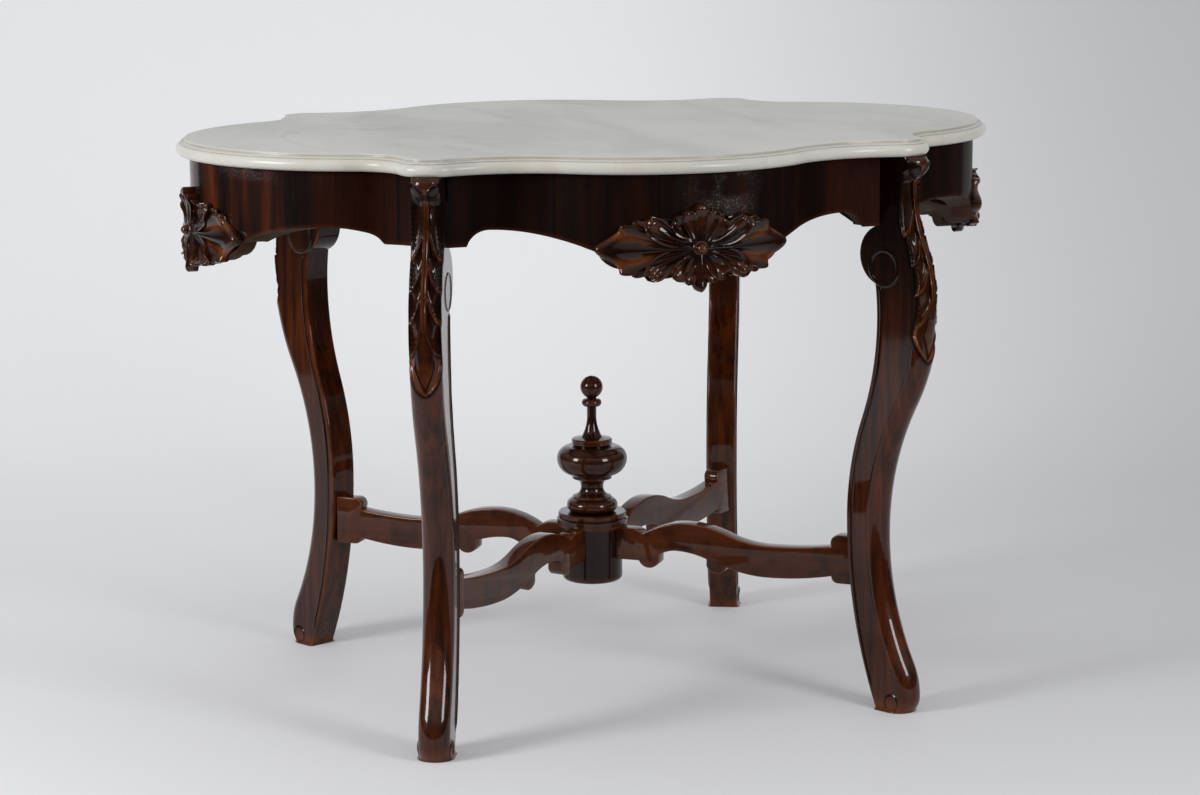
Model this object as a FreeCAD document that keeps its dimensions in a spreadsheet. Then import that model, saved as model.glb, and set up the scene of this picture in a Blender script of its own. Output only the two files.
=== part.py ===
"""Serpentine marble-topped table on four scroll legs, as an assembly of separate pieces.

Millimetres. X runs along the length, the front faces -Y and Z is up. The origin is on the floor,
under the middle of the slab.
"""
import FreeCAD, Part
import Sketcher
import math
import os

# Driving dimensions: name, size, meaning
SIZES = (
    ("table_height", 740, "floor to the top of the slab"),
    ("top_length", 1090, "slab, end to end"),
    ("top_depth", 820, "slab, front to back"),
    ("slab_thickness", 21, "slab"),
    ("end_lobe_from_front", 160, "slab's front in to the side of its round end"),
    ("front_lobe_from_end", 295, "slab's end in to the side of its round front"),
    ("ear_from_end", 240, "slab's end in to an ear's centre"),
    ("ear_from_front", 119, "slab's front in to an ear's centre"),
    ("ear_radius", 42, "small lobe of the slab over each leg"),
    ("notch_radius", 60, "hollow between an ear and the end"),
    ("hollow_radius", 150, "hollow between an ear and the front"),
    ("cap_inset", 11, "slab's edge to the rim of its top face"),
    ("cap_height", 5, "top face down to the nose of the edge"),
    ("nose_round_over", 8, "upper round of the edge"),
    ("nose_round_under", 6, "lower round of the edge"),
    ("apron_inset", 17, "slab's edge to the apron's face"),
    ("apron_ear_radius", 5, "turn of the apron's face inside a leg"),
    ("apron_core", 26, "apron's core"),
    ("veneer", 2, "face veneer"),
    ("apron_drop_leg", 90, "apron's depth beside a leg"),
    ("apron_drop_arch", 70, "apron's depth at the top of its arch"),
    ("apron_drop_middle", 95, "apron's depth behind the carving"),
    ("front_arch", 73, "ear's centre in to the top of the arch, on the long sides"),
    ("front_flat", 45, "ear's centre in to the start of the arch, on the long sides"),
    ("end_arch", 86, "ear's centre in to the top of the arch, on the ends"),
    ("end_flat", 61, "ear's centre in to the start of the arch, on the ends"),
    ("carving_proud", 17, "carving's relief in front of the apron"),
    ("carving_half_width", 118, "middle of a carving to its tip"),
    ("carving_centre_drop", 90, "underside of the slab to the carving's centre"),
    ("carving_petal_up", 53, "carving's centre to the top of its petal"),
    ("carving_petal_down", 53, "carving's centre to the foot of its petal"),
    ("carving_petal_half", 18, "half the petal's width"),
    ("carving_waist", 33, "carving's centre to its edge beside the petals"),
    ("carving_shoulder_across", 90, "carving's centre to a shoulder, along the apron"),
    ("carving_shoulder_up", 30, "carving's centre to a shoulder, up or down"),
    ("carving_lobe", 41, "carving's centre to the crown of its side lobes"),
    ("leg_turn", 26, "leg's plane from the table's depth, degrees"),
    ("leg_setback", 10, "ear's centre in to the heel line"),
    ("leg_thickness", 40, "leg"),
    ("leg_round", 18, "round of the leg's front corners"),
    ("heel_out", 3, "heel, out from the heel line"),
    ("ankle_back", 49, "hollow of the leg's back, in from the heel line"),
    ("ankle_back_height", 250, "height of that hollow"),
    ("nape_back", 2, "back of the knee, in from the heel line"),
    ("nape_height", 510, "height of the back of the knee"),
    ("throat_back", 5.4, "start of the back volute, in from the heel line"),
    ("throat_height", 549, "height where the back volute starts"),
    ("volute_back", 31, "back volute, in from the heel line"),
    ("volute_height", 592, "height of the back volute"),
    ("post_back", 45, "post behind the aprons, in from the heel line"),
    ("post_drop", 76, "underside of the slab to the foot of the post"),
    ("scroll_reach", 58, "top scroll, out from the heel line"),
    ("neck_reach", 47, "hollow under the top scroll, out from the heel line"),
    ("neck_drop", 49, "underside of the slab to that hollow"),
    ("knee_reach", 79, "knee, out from the heel line"),
    ("knee_height", 535, "height of the knee"),
    ("shin_reach", 2, "hollow of the shin, out from the heel line"),
    ("shin_height", 232, "height of that hollow"),
    ("toe_reach", 54, "toe, out from the heel line"),
    ("toe_height", 20, "height of the toe"),
    ("toe_sole", 45, "front of the sole, out from the heel line"),
    ("back_turn", 0.5, "where the back's curve turns, share of the ankle to the nape"),
    ("scroll_turn", 0.5, "where the front's curve turns, share of the neck to the knee"),
    ("shin_turn", 0.45, "where the front's curve turns, share of the knee to the shin"),
    ("toe_turn", 0.8, "where the front's curve turns, share of the shin to the toe"),
    ("arm_thickness", 22, "stretcher board"),
    ("arm_low", 155, "height of the board's lower edge"),
    ("arm_high", 219, "height of the board's upper edge"),
    ("arm_arch", 26, "rise of the lower edge at the arch"),
    ("arm_trough", 22, "dip of the upper edge at the trough"),
    ("arm_dip", 11, "dip of the upper edge beside the hub"),
    ("arm_block", 26, "square end of the board at the hub"),
    ("arm_lobe", 14, "width of the lobes on the lower edge"),
    ("arm_lobe_depth", 9, "depth of those lobes"),
    ("arm_lobe_near", 53, "crest in to the inner lobe"),
    ("arm_lobe_far", 42, "crest out to the outer lobe"),
    ("arm_arch_back", 15, "crest in to the top of the arch"),
    ("arm_crest", 137, "axis to the crest of the upper edge"),
    ("arm_valley", 118, "leg in to the trough of the upper edge"),
    ("arm_slope_turn", 0.5, "where the upper edge's curve turns, share of the crest to the trough"),
    ("arm_heel", 30, "knob at the end of the board, from the leg"),
    ("arm_heel_depth", 15.5, "height of that knob over the upper edge"),
    ("arm_trim", 14, "board's length that is scribed away to fit the leg and the hub"),
    ("hub_radius", 40, "stretcher hub"),
    ("hub_low", 132, "height of the hub's underside"),
    ("hub_high", 207, "height of the hub's top"),
    ("hub_round", 8, "round of the hub's lower edge"),
    ("spigot_radius", 10, "finial's spigot"),
    ("spigot_length", 35, "finial's spigot"),
    ("spigot_relief", 3, "room under the spigot"),
    ("plate_radius", 46, "finial's base"),
    ("plate_height", 18, "finial's base"),
    ("torus_radius", 34, "lower bead of the finial"),
    ("torus_height", 18, "lower bead of the finial"),
    ("waist_radius", 26, "fillets of the finial"),
    ("cove_radius", 15, "neck of the finial"),
    ("cove_height", 29, "neck of the finial"),
    ("bulb_radius", 47, "bulb of the finial"),
    ("bulb_height", 43, "bulb of the finial"),
    ("bulb_widest", 24.5, "foot of the bulb to its widest"),
    ("disc_height", 10, "disc on the bulb"),
    ("stem_radius", 6, "stem of the finial"),
    ("stem_height", 42, "stem of the finial"),
    ("stem_foot_radius", 12, "flared foot of the stem"),
    ("stem_foot_height", 29, "flared foot of the stem"),
    ("collar_radius", 13, "collar under the ball"),
    ("collar_height", 10, "collar under the ball"),
    ("ball_radius", 15, "ball of the finial"),
    ("ball_rise", 13.5, "collar to the ball's centre"),
    ("rail_width", 60, "cross rail under the slab"),
    ("rail_height", 24, "cross rail under the slab"),
    ("rail_housing", 10, "depth of the rail's housing in the apron"),
    ("block_depth", 34, "corner block, from the post inwards"),
    ("block_width", 128, "corner block, across the corner"),
    ("block_height", 62, "corner block"),
    ("block_drop", 6, "underside of the slab to a corner block"),
    ("dowel_radius", 4, "dowels"),
    ("dowel_in_leg", 15, "dowel's length in a leg or the hub"),
    ("dowel_in_apron", 12, "dowel's length in an apron"),
    ("dowel_in_arm", 22, "dowel's length in a stretcher board"),
    ("dowel_spread", 34, "between the two dowels of a joint"),
    ("dowel_drop", 27, "underside of the slab to the upper apron dowel"),
    ("hub_dowel_spread", 22, "between the two dowels of a joint at the hub"),
    ("dowel_front_back", 18, "apron dowels on the long sides, in from the heel line"),
    ("dowel_end_back", 30, "apron dowels on the ends, in from the heel line"),
    ("screw_radius", 2.5, "corner screws"),
    ("screw_head", 5, "radius of a screw's head"),
    ("screw_head_height", 3.5, "height of a screw's head"),
    ("screw_bite", 24, "screw's length in the post"),
    ("screw_spread", 28, "between the two screws of a block"),
    ("bore_clearance", 0.15, "dowel or screw to the wall of its bore"),
)

UP = FreeCAD.Vector(0, 0, 1)
FRONT = FreeCAD.Vector(0, -1, 0)
CORNERS = {"front_left": (-1, -1), "front_right": (1, -1), "rear_left": (-1, 1), "rear_right": (1, 1)}
SIDES = {"front": 0, "right": 90, "rear": 180, "left": 270}
QUARTERS = ((1, 1), (-1, 1), (-1, -1), (1, -1))
EITHER_SIDE = (-0.5, 0.5)
RIGHT_ANGLE = 90
ROUND_LIMIT = 0.48  # a round takes less than half of its wall
NEAR = 0.01

doc = FreeCAD.newDocument("serpentine_table")
sheet = doc.addObject("Spreadsheet::Sheet", "Sizes")
for row, (alias, amount, meaning) in enumerate(SIZES, start=1):
    sheet.set(f"A{row}", meaning)
    sheet.set(f"B{row}", str(amount))
    sheet.setAlias(f"B{row}", alias)
doc.recompute()


class Size:
    """A number and the expression that gives it from the sheet."""

    def __init__(self, value, text):
        self.value = value
        self.text = text

    def __add__(self, other):
        other = as_size(other)
        return Size(self.value + other.value, f"({self.text} + {other.text})")

    def __sub__(self, other):
        other = as_size(other)
        return Size(self.value - other.value, f"({self.text} - {other.text})")

    def __mul__(self, other):
        other = as_size(other)
        return Size(self.value * other.value, f"({self.text} * {other.text})")

    def __truediv__(self, other):
        other = as_size(other)
        return Size(self.value / other.value, f"({self.text} / {other.text})")

    def __neg__(self):
        return Size(-self.value, f"(-1 * {self.text})")


def as_size(item):
    return item if isinstance(item, Size) else Size(float(item), repr(item))


def size(alias):
    return Size(float(sheet.get(alias)), f"Sizes.{alias}")


def sine(angle):
    return Size(math.sin(math.radians(angle.value)), f"sin({angle.text})")


def cosine(angle):
    return Size(math.cos(math.radians(angle.value)), f"cos({angle.text})")


def bind(thing, path, amount):
    thing.setExpression(path, as_size(amount).text)


def between(start, end, share):
    """The point a share of the way from one sized point to another."""
    return tuple(a + (b - a) * share for a, b in zip(start, end))


# Sketches

def pin(sketch, geometry, point, x, y):
    """Hold one point of a sketch at a sized place."""
    for kind, amount in (("DistanceX", x), ("DistanceY", y)):
        index = sketch.addConstraint(Sketcher.Constraint(kind, -1, 1, geometry, point, amount.value))
        bind(sketch, f"Constraints[{index}]", amount)


def nearest_end(sketch, geometry, place):
    ends = (1, 2)
    return min(ends, key=lambda end: (sketch.getPoint(geometry, end) - place).Length)


def square_arc(start, end, bend):
    """Arc whose tangent at one end is upright or level, as the bend says."""
    tangent, where = bend.split("_")
    square, other = (start, end) if where == "start" else (end, start)
    chord = other - square
    if tangent == "upright":
        centre = square + FreeCAD.Vector(chord.Length ** 2 / (2 * chord.x), 0, 0)
    else:
        centre = square + FreeCAD.Vector(0, chord.Length ** 2 / (2 * chord.y), 0)
    radius = (square - centre).Length
    middle = ((start - centre) + (end - centre)).normalize() * radius
    return Part.Arc(start, centre + middle, end)


def draw(sketch, corners, bends):
    """Closed outline through sized corners: bends name the line or arc that leaves each corner."""
    places = [FreeCAD.Vector(x.value, y.value, 0) for x, y in corners]
    following = places[1:] + places[:1]
    for start, end, bend in zip(places, following, bends):
        if bend == "line":
            sketch.addGeometry(Part.LineSegment(start, end), False)
        else:
            sketch.addGeometry(square_arc(start, end, bend), False)
    count = len(places)
    first = [nearest_end(sketch, index, places[index]) for index in range(count)]
    for index in range(count):
        after = (index + 1) % count
        sketch.addConstraint(Sketcher.Constraint("Coincident", index, 3 - first[index], after, first[after]))
    for index, bend in enumerate(bends):
        pin(sketch, index, first[index], *corners[index])
        if bend != "line":
            tangent, where = bend.split("_")
            square = first[index] if where == "start" else 3 - first[index]
            level = "Horizontal" if tangent == "upright" else "Vertical"
            sketch.addConstraint(Sketcher.Constraint(level, index, 3, index, square))


def body_sketch(body, name, role):
    plane = next(feature for feature in body.Origin.OriginFeatures if feature.Role == role)
    sketch = body.newObject("Sketcher::SketchObject", name)
    sketch.AttachmentSupport = [(plane, "")]
    sketch.MapMode = "FlatFace"
    return sketch


def upright_sketch(name):
    """A free sketch in the XZ plane, seen from the front."""
    sketch = doc.addObject("Sketcher::SketchObject", name)
    sketch.Placement = FreeCAD.Placement(FreeCAD.Vector(), FreeCAD.Rotation(FreeCAD.Vector(1, 0, 0), 90))
    return sketch


# Solids made from other shapes

def prism(name, base, direction, length, lift=None, turn=0):
    solid = doc.addObject("Part::Extrusion", name)
    solid.Base = base
    solid.DirMode = "Custom"
    solid.Dir = direction
    solid.Solid = True
    bind(solid, "LengthFwd", length)
    solid.Placement = FreeCAD.Placement(FreeCAD.Vector(), FreeCAD.Rotation(UP, turn))
    if lift is not None:
        bind(solid, "Placement.Base.z", lift)
    return solid


def boolean(kind, name, base, tool):
    result = doc.addObject(f"Part::{kind}", name)
    result.Base = base
    result.Tool = tool
    return result


def cut(name, base, *tools):
    for number, tool in enumerate(tools, start=1):
        last = number == len(tools)
        base = boolean("Cut", name if last else f"{name}_cut_{number}", base, tool)
    return base


def group(name, solids):
    """Separate solids kept together as one piece."""
    compound = doc.addObject("Part::Compound", name)
    compound.Links = solids
    return compound


def rod(name, radius, length, start, direction):
    """Round bar from a place along a direction."""
    bar = doc.addObject("Part::Cylinder", name)
    bind(bar, "Radius", radius)
    bind(bar, "Height", length)
    bar.Placement = FreeCAD.Placement(start, FreeCAD.Rotation(UP, direction))
    return bar


# Plan outline of the slab

def circle_meeting(first, first_radius, second, second_radius):
    """Where two circles cross, on the right-hand side going from the first centre to the second."""
    chord = second - first
    along = (first_radius ** 2 - second_radius ** 2 + chord.Length ** 2) / (2 * chord.Length)
    aside = math.sqrt(first_radius ** 2 - along ** 2)
    way = FreeCAD.Vector(chord).normalize()
    return first + way * along + FreeCAD.Vector(way.y, -way.x, 0) * aside


def arc_about(centre, start, end):
    radius = (start - centre).Length
    middle = ((start - centre) + (end - centre)).normalize() * radius
    return Part.Arc(start, centre + middle, end)


def draw_outline(sketch, inset, ear_radius):
    """Sixteen tangent arcs: two ends, front and back, and a notch, an ear and a hollow in each quarter."""
    end_x = size("top_length") / 2 - end_lobe
    front_y = size("top_depth") / 2 - front_lobe
    end_radius, front_radius = end_lobe - inset, front_lobe - inset
    notch_radius, hollow_radius = size("notch_radius") + inset, size("hollow_radius") + inset
    end = FreeCAD.Vector(end_x.value, 0, 0)
    front = FreeCAD.Vector(0, front_y.value, 0)
    ear = FreeCAD.Vector(ear_across.value, ear_forward.value, 0)
    notch = circle_meeting(end, (end_radius + notch_radius).value, ear, (ear_radius + notch_radius).value)
    hollow = circle_meeting(ear, (ear_radius + hollow_radius).value,
                            front, (front_radius + hollow_radius).value)
    joints = [end + (notch - end).normalize() * end_radius.value,
              ear + (notch - ear).normalize() * ear_radius.value,
              ear + (hollow - ear).normalize() * ear_radius.value,
              front + (hollow - front).normalize() * front_radius.value]

    def mirrored(place, signs):
        return FreeCAD.Vector(place.x * signs[0], place.y * signs[1], 0)

    radii = []
    centres = {}
    for number, signs in enumerate(QUARTERS):
        steps = [(notch, 0, 1, notch_radius), (ear, 1, 2, ear_radius), (hollow, 2, 3, hollow_radius)]
        if number % 2:
            steps = [(centre, stop, start, radius) for centre, start, stop, radius in reversed(steps)]
        for centre, start, stop, radius in steps:
            ends = [mirrored(joints[end_number], signs) for end_number in (start, stop)]
            arc = arc_about(mirrored(centre, signs), *ends)
            index = sketch.addGeometry(arc, False)
            radii.append((index, radius))
            if centre is ear:
                centres[index] = (ear_across * signs[0], ear_forward * signs[1])
        onward = QUARTERS[(number + 1) % len(QUARTERS)]
        lobe = number % 2
        centre = mirrored(end if lobe else front, signs)
        joint = joints[0] if lobe else joints[3]
        radius = end_radius if lobe else front_radius
        outward = FreeCAD.Vector(centre).normalize() * radius.value
        arc = Part.Arc(mirrored(joint, signs), centre + outward, mirrored(joint, onward))
        index = sketch.addGeometry(arc, False)
        radii.append((index, radius))
        zero = as_size(0)
        centres[index] = (end_x * signs[0], zero) if lobe else (zero, front_y * signs[1])
    count = len(radii)
    for index in range(count):
        after = (index + 1) % count
        gaps = {}
        for here in (1, 2):
            for there in (1, 2):
                gaps[here, there] = (sketch.getPoint(index, here) - sketch.getPoint(after, there)).Length
        here, there = min(gaps, key=gaps.get)
        sketch.addConstraint(Sketcher.Constraint("Tangent", index, here, after, there))
    for index, radius in radii:
        number = sketch.addConstraint(Sketcher.Constraint("Radius", index, radius.value))
        bind(sketch, f"Constraints[{number}]", radius)
    for index, place in centres.items():
        pin(sketch, index, 3, *place)


underside = size("table_height") - size("slab_thickness")
end_lobe = size("top_depth") / 2 - size("end_lobe_from_front")
front_lobe = size("top_length") / 2 - size("front_lobe_from_end")
ear_across = size("top_length") / 2 - size("ear_from_end")
ear_forward = size("top_depth") / 2 - size("ear_from_front")
slab_outline = doc.addObject("Sketcher::SketchObject", "slab_outline")
draw_outline(slab_outline, as_size(0), size("ear_radius"))
apron_outline = doc.addObject("Sketcher::SketchObject", "apron_outline")
draw_outline(apron_outline, size("apron_inset"), size("apron_ear_radius"))


def parallel(name, source, inset):
    """An outline, drawn in by an inset."""
    inner = doc.addObject("Part::Offset2D", name)
    inner.Source = source
    bind(inner, "Value", -inset)
    return inner


# Slab

def make_slab():
    nose_height = size("slab_thickness") - size("cap_height")
    nose = prism("slab_nose", slab_outline, UP, nose_height, underside)
    cap_outline = parallel("cap_outline", slab_outline, size("cap_inset"))
    cap = prism("slab_cap", cap_outline, UP, size("cap_height"), underside + nose_height)
    doc.recompute()
    limit = nose_height.value * ROUND_LIMIT
    low, high = underside.value, (underside + nose_height).value
    under, over = size("nose_round_under").value, size("nose_round_over").value
    rounds = {low: min(under, limit), high: min(over, limit)}
    edges = []
    for number, edge in enumerate(nose.Shape.Edges, start=1):
        heights = {round(vertex.Point.z, 3) for vertex in edge.Vertexes}
        for height, radius in rounds.items():
            if heights == {round(height, 3)}:
                edges.append((number, radius, radius))
    rounded = doc.addObject("Part::Fillet", "slab_rounded")
    rounded.Base = nose
    rounded.Edges = edges
    return boolean("Fuse", "marble_top", rounded, cap)


# Aprons, veneers and carvings

def outline_solid(name, outline):
    depth = size("carving_centre_drop") + size("carving_petal_down")
    return prism(name, outline, UP, depth, underside - depth)


def draw_wedge(sketch, across, forward, turn, reach):
    """Triangle between the two legs of a side, whose flanks lie on the legs' side faces."""
    half = size("leg_thickness") / 2
    foot = across - cosine(turn) * half
    tip = foot * cosine(turn) / sine(turn) - forward - sine(turn) * half
    spread = (tip + reach) * sine(turn) / cosine(turn)
    corners = [(as_size(0), tip), (-spread, -reach), (spread, -reach)]
    draw(sketch, corners, ["line", "line", "line"])


def draw_elevation(sketch, arch, flat, span):
    """Front view of one apron: level top and scalloped lower edge."""
    tip = size("carving_half_width")
    leg = underside - size("apron_drop_leg")
    crown = underside - size("apron_drop_arch")
    middle = underside - size("apron_drop_middle")
    right = [(tip, middle), (arch, crown), (flat, leg), (span, leg), (span, underside)]
    left = [(-x, z) for x, z in reversed(right)]
    scallop, straight = ["level_end", "level_start"], ["line"]
    draw(sketch, right + left, scallop + straight * 5 + scallop + straight)


def draw_cartouche(sketch):
    """Lobed outline of a carving."""
    centre = underside - size("carving_centre_drop")
    petal = size("carving_petal_half")
    waist, lobe = size("carving_waist"), size("carving_lobe")
    shoulder_x, shoulder_z = size("carving_shoulder_across"), size("carving_shoulder_up")
    crown_x = (petal + shoulder_x) / 2
    zero = as_size(0)

    def quarter(side, rise, petal_height):
        return [(zero, centre + petal_height * rise), (petal * side, centre + waist * rise),
                (crown_x * side, centre + lobe * rise), (shoulder_x * side, centre + shoulder_z * rise)]

    tip = size("carving_half_width")
    top_right = quarter(1, 1, size("carving_petal_up"))
    low_right = quarter(1, -1, size("carving_petal_down"))
    top_left = quarter(-1, 1, size("carving_petal_up"))
    low_left = quarter(-1, -1, size("carving_petal_down"))
    right = top_right + [(tip, centre)] + low_right[::-1]
    left = low_left[1:] + [(-tip, centre)] + top_left[:0:-1]
    outward = ["level_start", "level_end", "level_start", "upright_end"]
    inward = ["upright_start", "level_end", "level_start", "level_end"]
    draw(sketch, right + left, outward + inward + outward + inward)


def make_aprons():
    """Four curved aprons with veneers and carvings, and all that lies outside the back of each core."""
    thickness = size("veneer") + size("apron_core")
    face = outline_solid("apron_face", apron_outline)
    core_face = outline_solid("core_face", parallel("core_face_outline", apron_outline, size("veneer")))
    core_back = outline_solid("core_back", parallel("core_back_outline", apron_outline, thickness))
    relief = outline_solid("relief", parallel("relief_outline", apron_outline, -size("carving_proud")))
    ring = cut("apron_ring", face, core_back)
    relief_ring = cut("relief_ring", relief, core_back)
    turn = size("leg_turn")
    along = (ear_across, ear_forward)
    reach = {"long": size("top_depth"), "end": size("top_length")}
    plans, views = {}, {}
    wedges = (("long", along, turn), ("end", along[::-1], as_size(RIGHT_ANGLE) - turn))
    for kind, (across, forward), angle in wedges:
        plans[kind] = doc.addObject("Sketcher::SketchObject", f"{kind}_wedge")
        draw_wedge(plans[kind], across, forward, angle, reach[kind])
        views[kind] = upright_sketch(f"{kind}_elevation")
        name = "front" if kind == "long" else "end"
        arch, flat = across - size(f"{name}_arch"), across - size(f"{name}_flat")
        draw_elevation(views[kind], arch, flat, across + size("ear_radius"))
    cartouche = upright_sketch("cartouche")
    draw_cartouche(cartouche)
    rail = make_rail_blank(size("apron_inset") + thickness)
    outside, pieces = {}, {}
    for side, angle in SIDES.items():
        kind = "end" if angle % 180 else "long"
        wedge = prism(f"wedge_{side}", plans[kind], UP, underside, None, angle)
        view = prism(f"view_{side}", views[kind], FRONT, reach[kind], None, angle)
        outside[side] = cut(f"outside_{side}", wedge, core_back)
        zone = boolean("Common", f"zone_{side}", ring, boolean("Common", f"mask_{side}", wedge, view))
        pieces[f"veneer_{side}"] = cut(f"veneer_{side}", zone, core_face)
        core = boolean("Common", f"core_{side}", zone, core_face)
        pieces[f"apron_{side}"] = core if kind == "end" else cut(f"housed_{side}", core, rail)
        blank = prism(f"carving_blank_{side}", cartouche, FRONT, reach[kind], None, angle)
        carved = boolean("Common", f"relief_{side}", relief_ring, blank)
        pieces[f"carving_{side}"] = cut(f"carving_{side}", carved, zone)
    pieces["centre_rail"] = rail
    return pieces, outside


def make_rail_blank(apron_back):
    """Cross rail from apron to apron, housed in both."""
    rail = doc.addObject("Part::Box", "centre_rail")
    half = size("top_depth") / 2 - apron_back + size("rail_housing")
    bind(rail, "Length", size("rail_width"))
    bind(rail, "Width", half * 2)
    bind(rail, "Height", size("rail_height"))
    bind(rail, "Placement.Base.x", -size("rail_width") / 2)
    bind(rail, "Placement.Base.y", -half)
    bind(rail, "Placement.Base.z", underside - size("rail_height"))
    return rail


# Legs

def leg_frame(signs):
    """Origin and outward direction of a leg's own frame, on the floor at its heel line."""
    turn = math.radians(size("leg_turn").value)
    outward = FreeCAD.Vector(signs[0] * math.sin(turn), signs[1] * math.cos(turn), 0)
    ear = FreeCAD.Vector(signs[0] * ear_across.value, signs[1] * ear_forward.value, 0)
    return ear - outward * size("leg_setback").value, outward


def facing(place, outward):
    """Placement that turns X to an outward direction."""
    return FreeCAD.Placement(place, FreeCAD.Rotation(UP, math.degrees(math.atan2(outward.y, outward.x))))


def draw_leg(sketch):
    """Side view of a scroll leg: X out from the heel line, Y up."""
    heel = (size("heel_out"), as_size(0))
    ankle = (-size("ankle_back"), size("ankle_back_height"))
    nape = (-size("nape_back"), size("nape_height"))
    throat = (-size("throat_back"), size("throat_height"))
    volute = (-size("volute_back"), size("volute_height"))
    shoulder = underside - size("post_drop")
    neck = (size("neck_reach"), underside - size("neck_drop"))
    knee = (size("knee_reach"), size("knee_height"))
    shin = (size("shin_reach"), size("shin_height"))
    toe = (size("toe_reach"), size("toe_height"))
    post = -size("post_back")
    back = [heel, ankle, between(ankle, nape, size("back_turn")), nape, throat, volute,
            (volute[0], shoulder)]
    top = [(post, shoulder), (post, underside), (size("scroll_reach"), underside)]
    front = [neck, between(neck, knee, size("scroll_turn")), knee, between(knee, shin, size("shin_turn")),
             shin, between(shin, toe, size("toe_turn")), toe, (size("toe_sole"), as_size(0))]
    swing = ["upright_end", "upright_start"]
    back_bends = swing * 2 + ["upright_end"] + ["line"] * 2
    top_bends = ["line"] * 2 + ["upright_end"]
    front_bends = swing[::-1] * 3 + ["upright_start", "line"]
    draw(sketch, back + top + front, back_bends + top_bends + front_bends)


def round_flank(body, sawn, side):
    """Round the front corner of a leg along one flank."""
    doc.recompute()
    flank = size("leg_thickness").value / 2 * side
    hollow = size("shin_reach").value
    front = []
    for number, edge in enumerate(sawn.Shape.Edges, start=1):
        on_flank = all(abs(vertex.Point.y - flank) < NEAR for vertex in edge.Vertexes)
        forward = min(vertex.Point.x for vertex in edge.Vertexes) > hollow - NEAR
        if on_flank and forward and isinstance(edge.Curve, Part.Circle):
            front.append(f"Edge{number}")
    rounded = body.newObject("PartDesign::Fillet", f"{sawn.Name}_round")
    rounded.Base = (sawn, front)
    bind(rounded, "Radius", size("leg_round"))
    return rounded


def make_leg(name, signs):
    body = doc.addObject("PartDesign::Body", f"{name}_blank")
    sketch = body_sketch(body, f"{name}_side", "XZ_Plane")
    draw_leg(sketch)
    pad = body.newObject("PartDesign::Pad", f"{name}_sawn")
    pad.Profile = sketch
    pad.SideType = "Symmetric"
    bind(pad, "Length", size("leg_thickness"))
    doc.recompute()
    rounded = pad
    for side in (-1, 1):
        rounded = round_flank(body, rounded, side)
    body.Placement = facing(*leg_frame(signs))
    return body


# Stretcher

def leg_back(signs):
    """Middle of a leg's back at its ankle, in plan, where a stretcher board meets it."""
    place, outward = leg_frame(signs)
    return place - outward * size("ankle_back").value


def arm_length():
    across = ear_across - sine(size("leg_turn")) * (size("leg_setback") + size("ankle_back"))
    forward = ear_forward - cosine(size("leg_turn")) * (size("leg_setback") + size("ankle_back"))
    total = math.hypot(across.value, forward.value)
    return Size(total, f"sqrt({across.text}^2 + {forward.text}^2)")


def draw_arm(sketch):
    """Side view of a stretcher board: X out from the table's axis, Y up."""
    low, high = size("arm_low"), size("arm_high")
    lobe, depth = size("arm_lobe"), size("arm_lobe_depth")
    start = size("hub_radius") - size("arm_trim")
    block = size("hub_radius") + size("arm_block")
    end = arm_length() + size("arm_trim")
    heel = arm_length() - size("arm_heel")
    crest = (size("arm_crest"), high)
    valley = (arm_length() - size("arm_valley"), high - size("arm_trough"))
    arch = (crest[0] - size("arm_arch_back"), low + size("arm_arch"))
    near, far = crest[0] - size("arm_lobe_near"), crest[0] + size("arm_lobe_far")
    rise = low + depth
    upper = [(start, high), (block, high), (block + depth, high - size("arm_dip")), crest,
             between(crest, valley, size("arm_slope_turn")), valley, (heel, high - size("arm_heel_depth")),
             (heel + depth, high), (end, high)]
    upper_bends = ["line"] + ["level_start", "level_end"] * 3 + ["line", "line"]
    lower = [(end, low), (heel + depth, low), (heel, low + depth), (valley[0], low), (far + lobe, rise),
             (far, low), (far - lobe, rise), (far - lobe, rise + depth), arch, (near + lobe, rise + depth),
             (near + lobe, rise), (near, low), (near - lobe, rise), (start, rise)]
    lobe_bends = ["level_end", "level_start", "line"]
    trough_bends = ["line"] + ["level_start", "level_end"] * 2 + ["level_start", "line"]
    lower_bends = trough_bends + lobe_bends * 2 + ["line"]
    draw(sketch, upper + lower, upper_bends + lower_bends)


def make_arm(name, signs):
    body = doc.addObject("PartDesign::Body", f"{name}_blank")
    sketch = body_sketch(body, f"{name}_side", "XZ_Plane")
    draw_arm(sketch)
    pad = body.newObject("PartDesign::Pad", f"{name}_sawn")
    pad.Profile = sketch
    pad.SideType = "Symmetric"
    bind(pad, "Length", size("arm_thickness"))
    body.Placement = facing(FreeCAD.Vector(), leg_back(signs))
    return body


def turned(name, corners, bends):
    """Piece turned about the table's axis from half of its section."""
    body = doc.addObject("PartDesign::Body", f"{name}_blank")
    sketch = body_sketch(body, f"{name}_section", "XZ_Plane")
    draw(sketch, corners, bends)
    spun = body.newObject("PartDesign::Revolution", f"{name}_turned")
    spun.Profile = sketch
    spun.ReferenceAxis = (sketch, ["V_Axis"])
    spun.Angle = 360
    return body


def make_hub():
    radius, low, high, soft = size("hub_radius"), size("hub_low"), size("hub_high"), size("hub_round")
    bore = size("spigot_radius") + size("bore_clearance")
    floor = high - size("spigot_length") - size("spigot_relief")
    zero = as_size(0)
    corners = [(zero, low), (radius - soft, low), (radius, low + soft), (radius, high), (bore, high),
               (bore, floor), (zero, floor)]
    return turned("hub", corners, ["line", "level_start", "line", "line", "line", "line", "line"])


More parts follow.
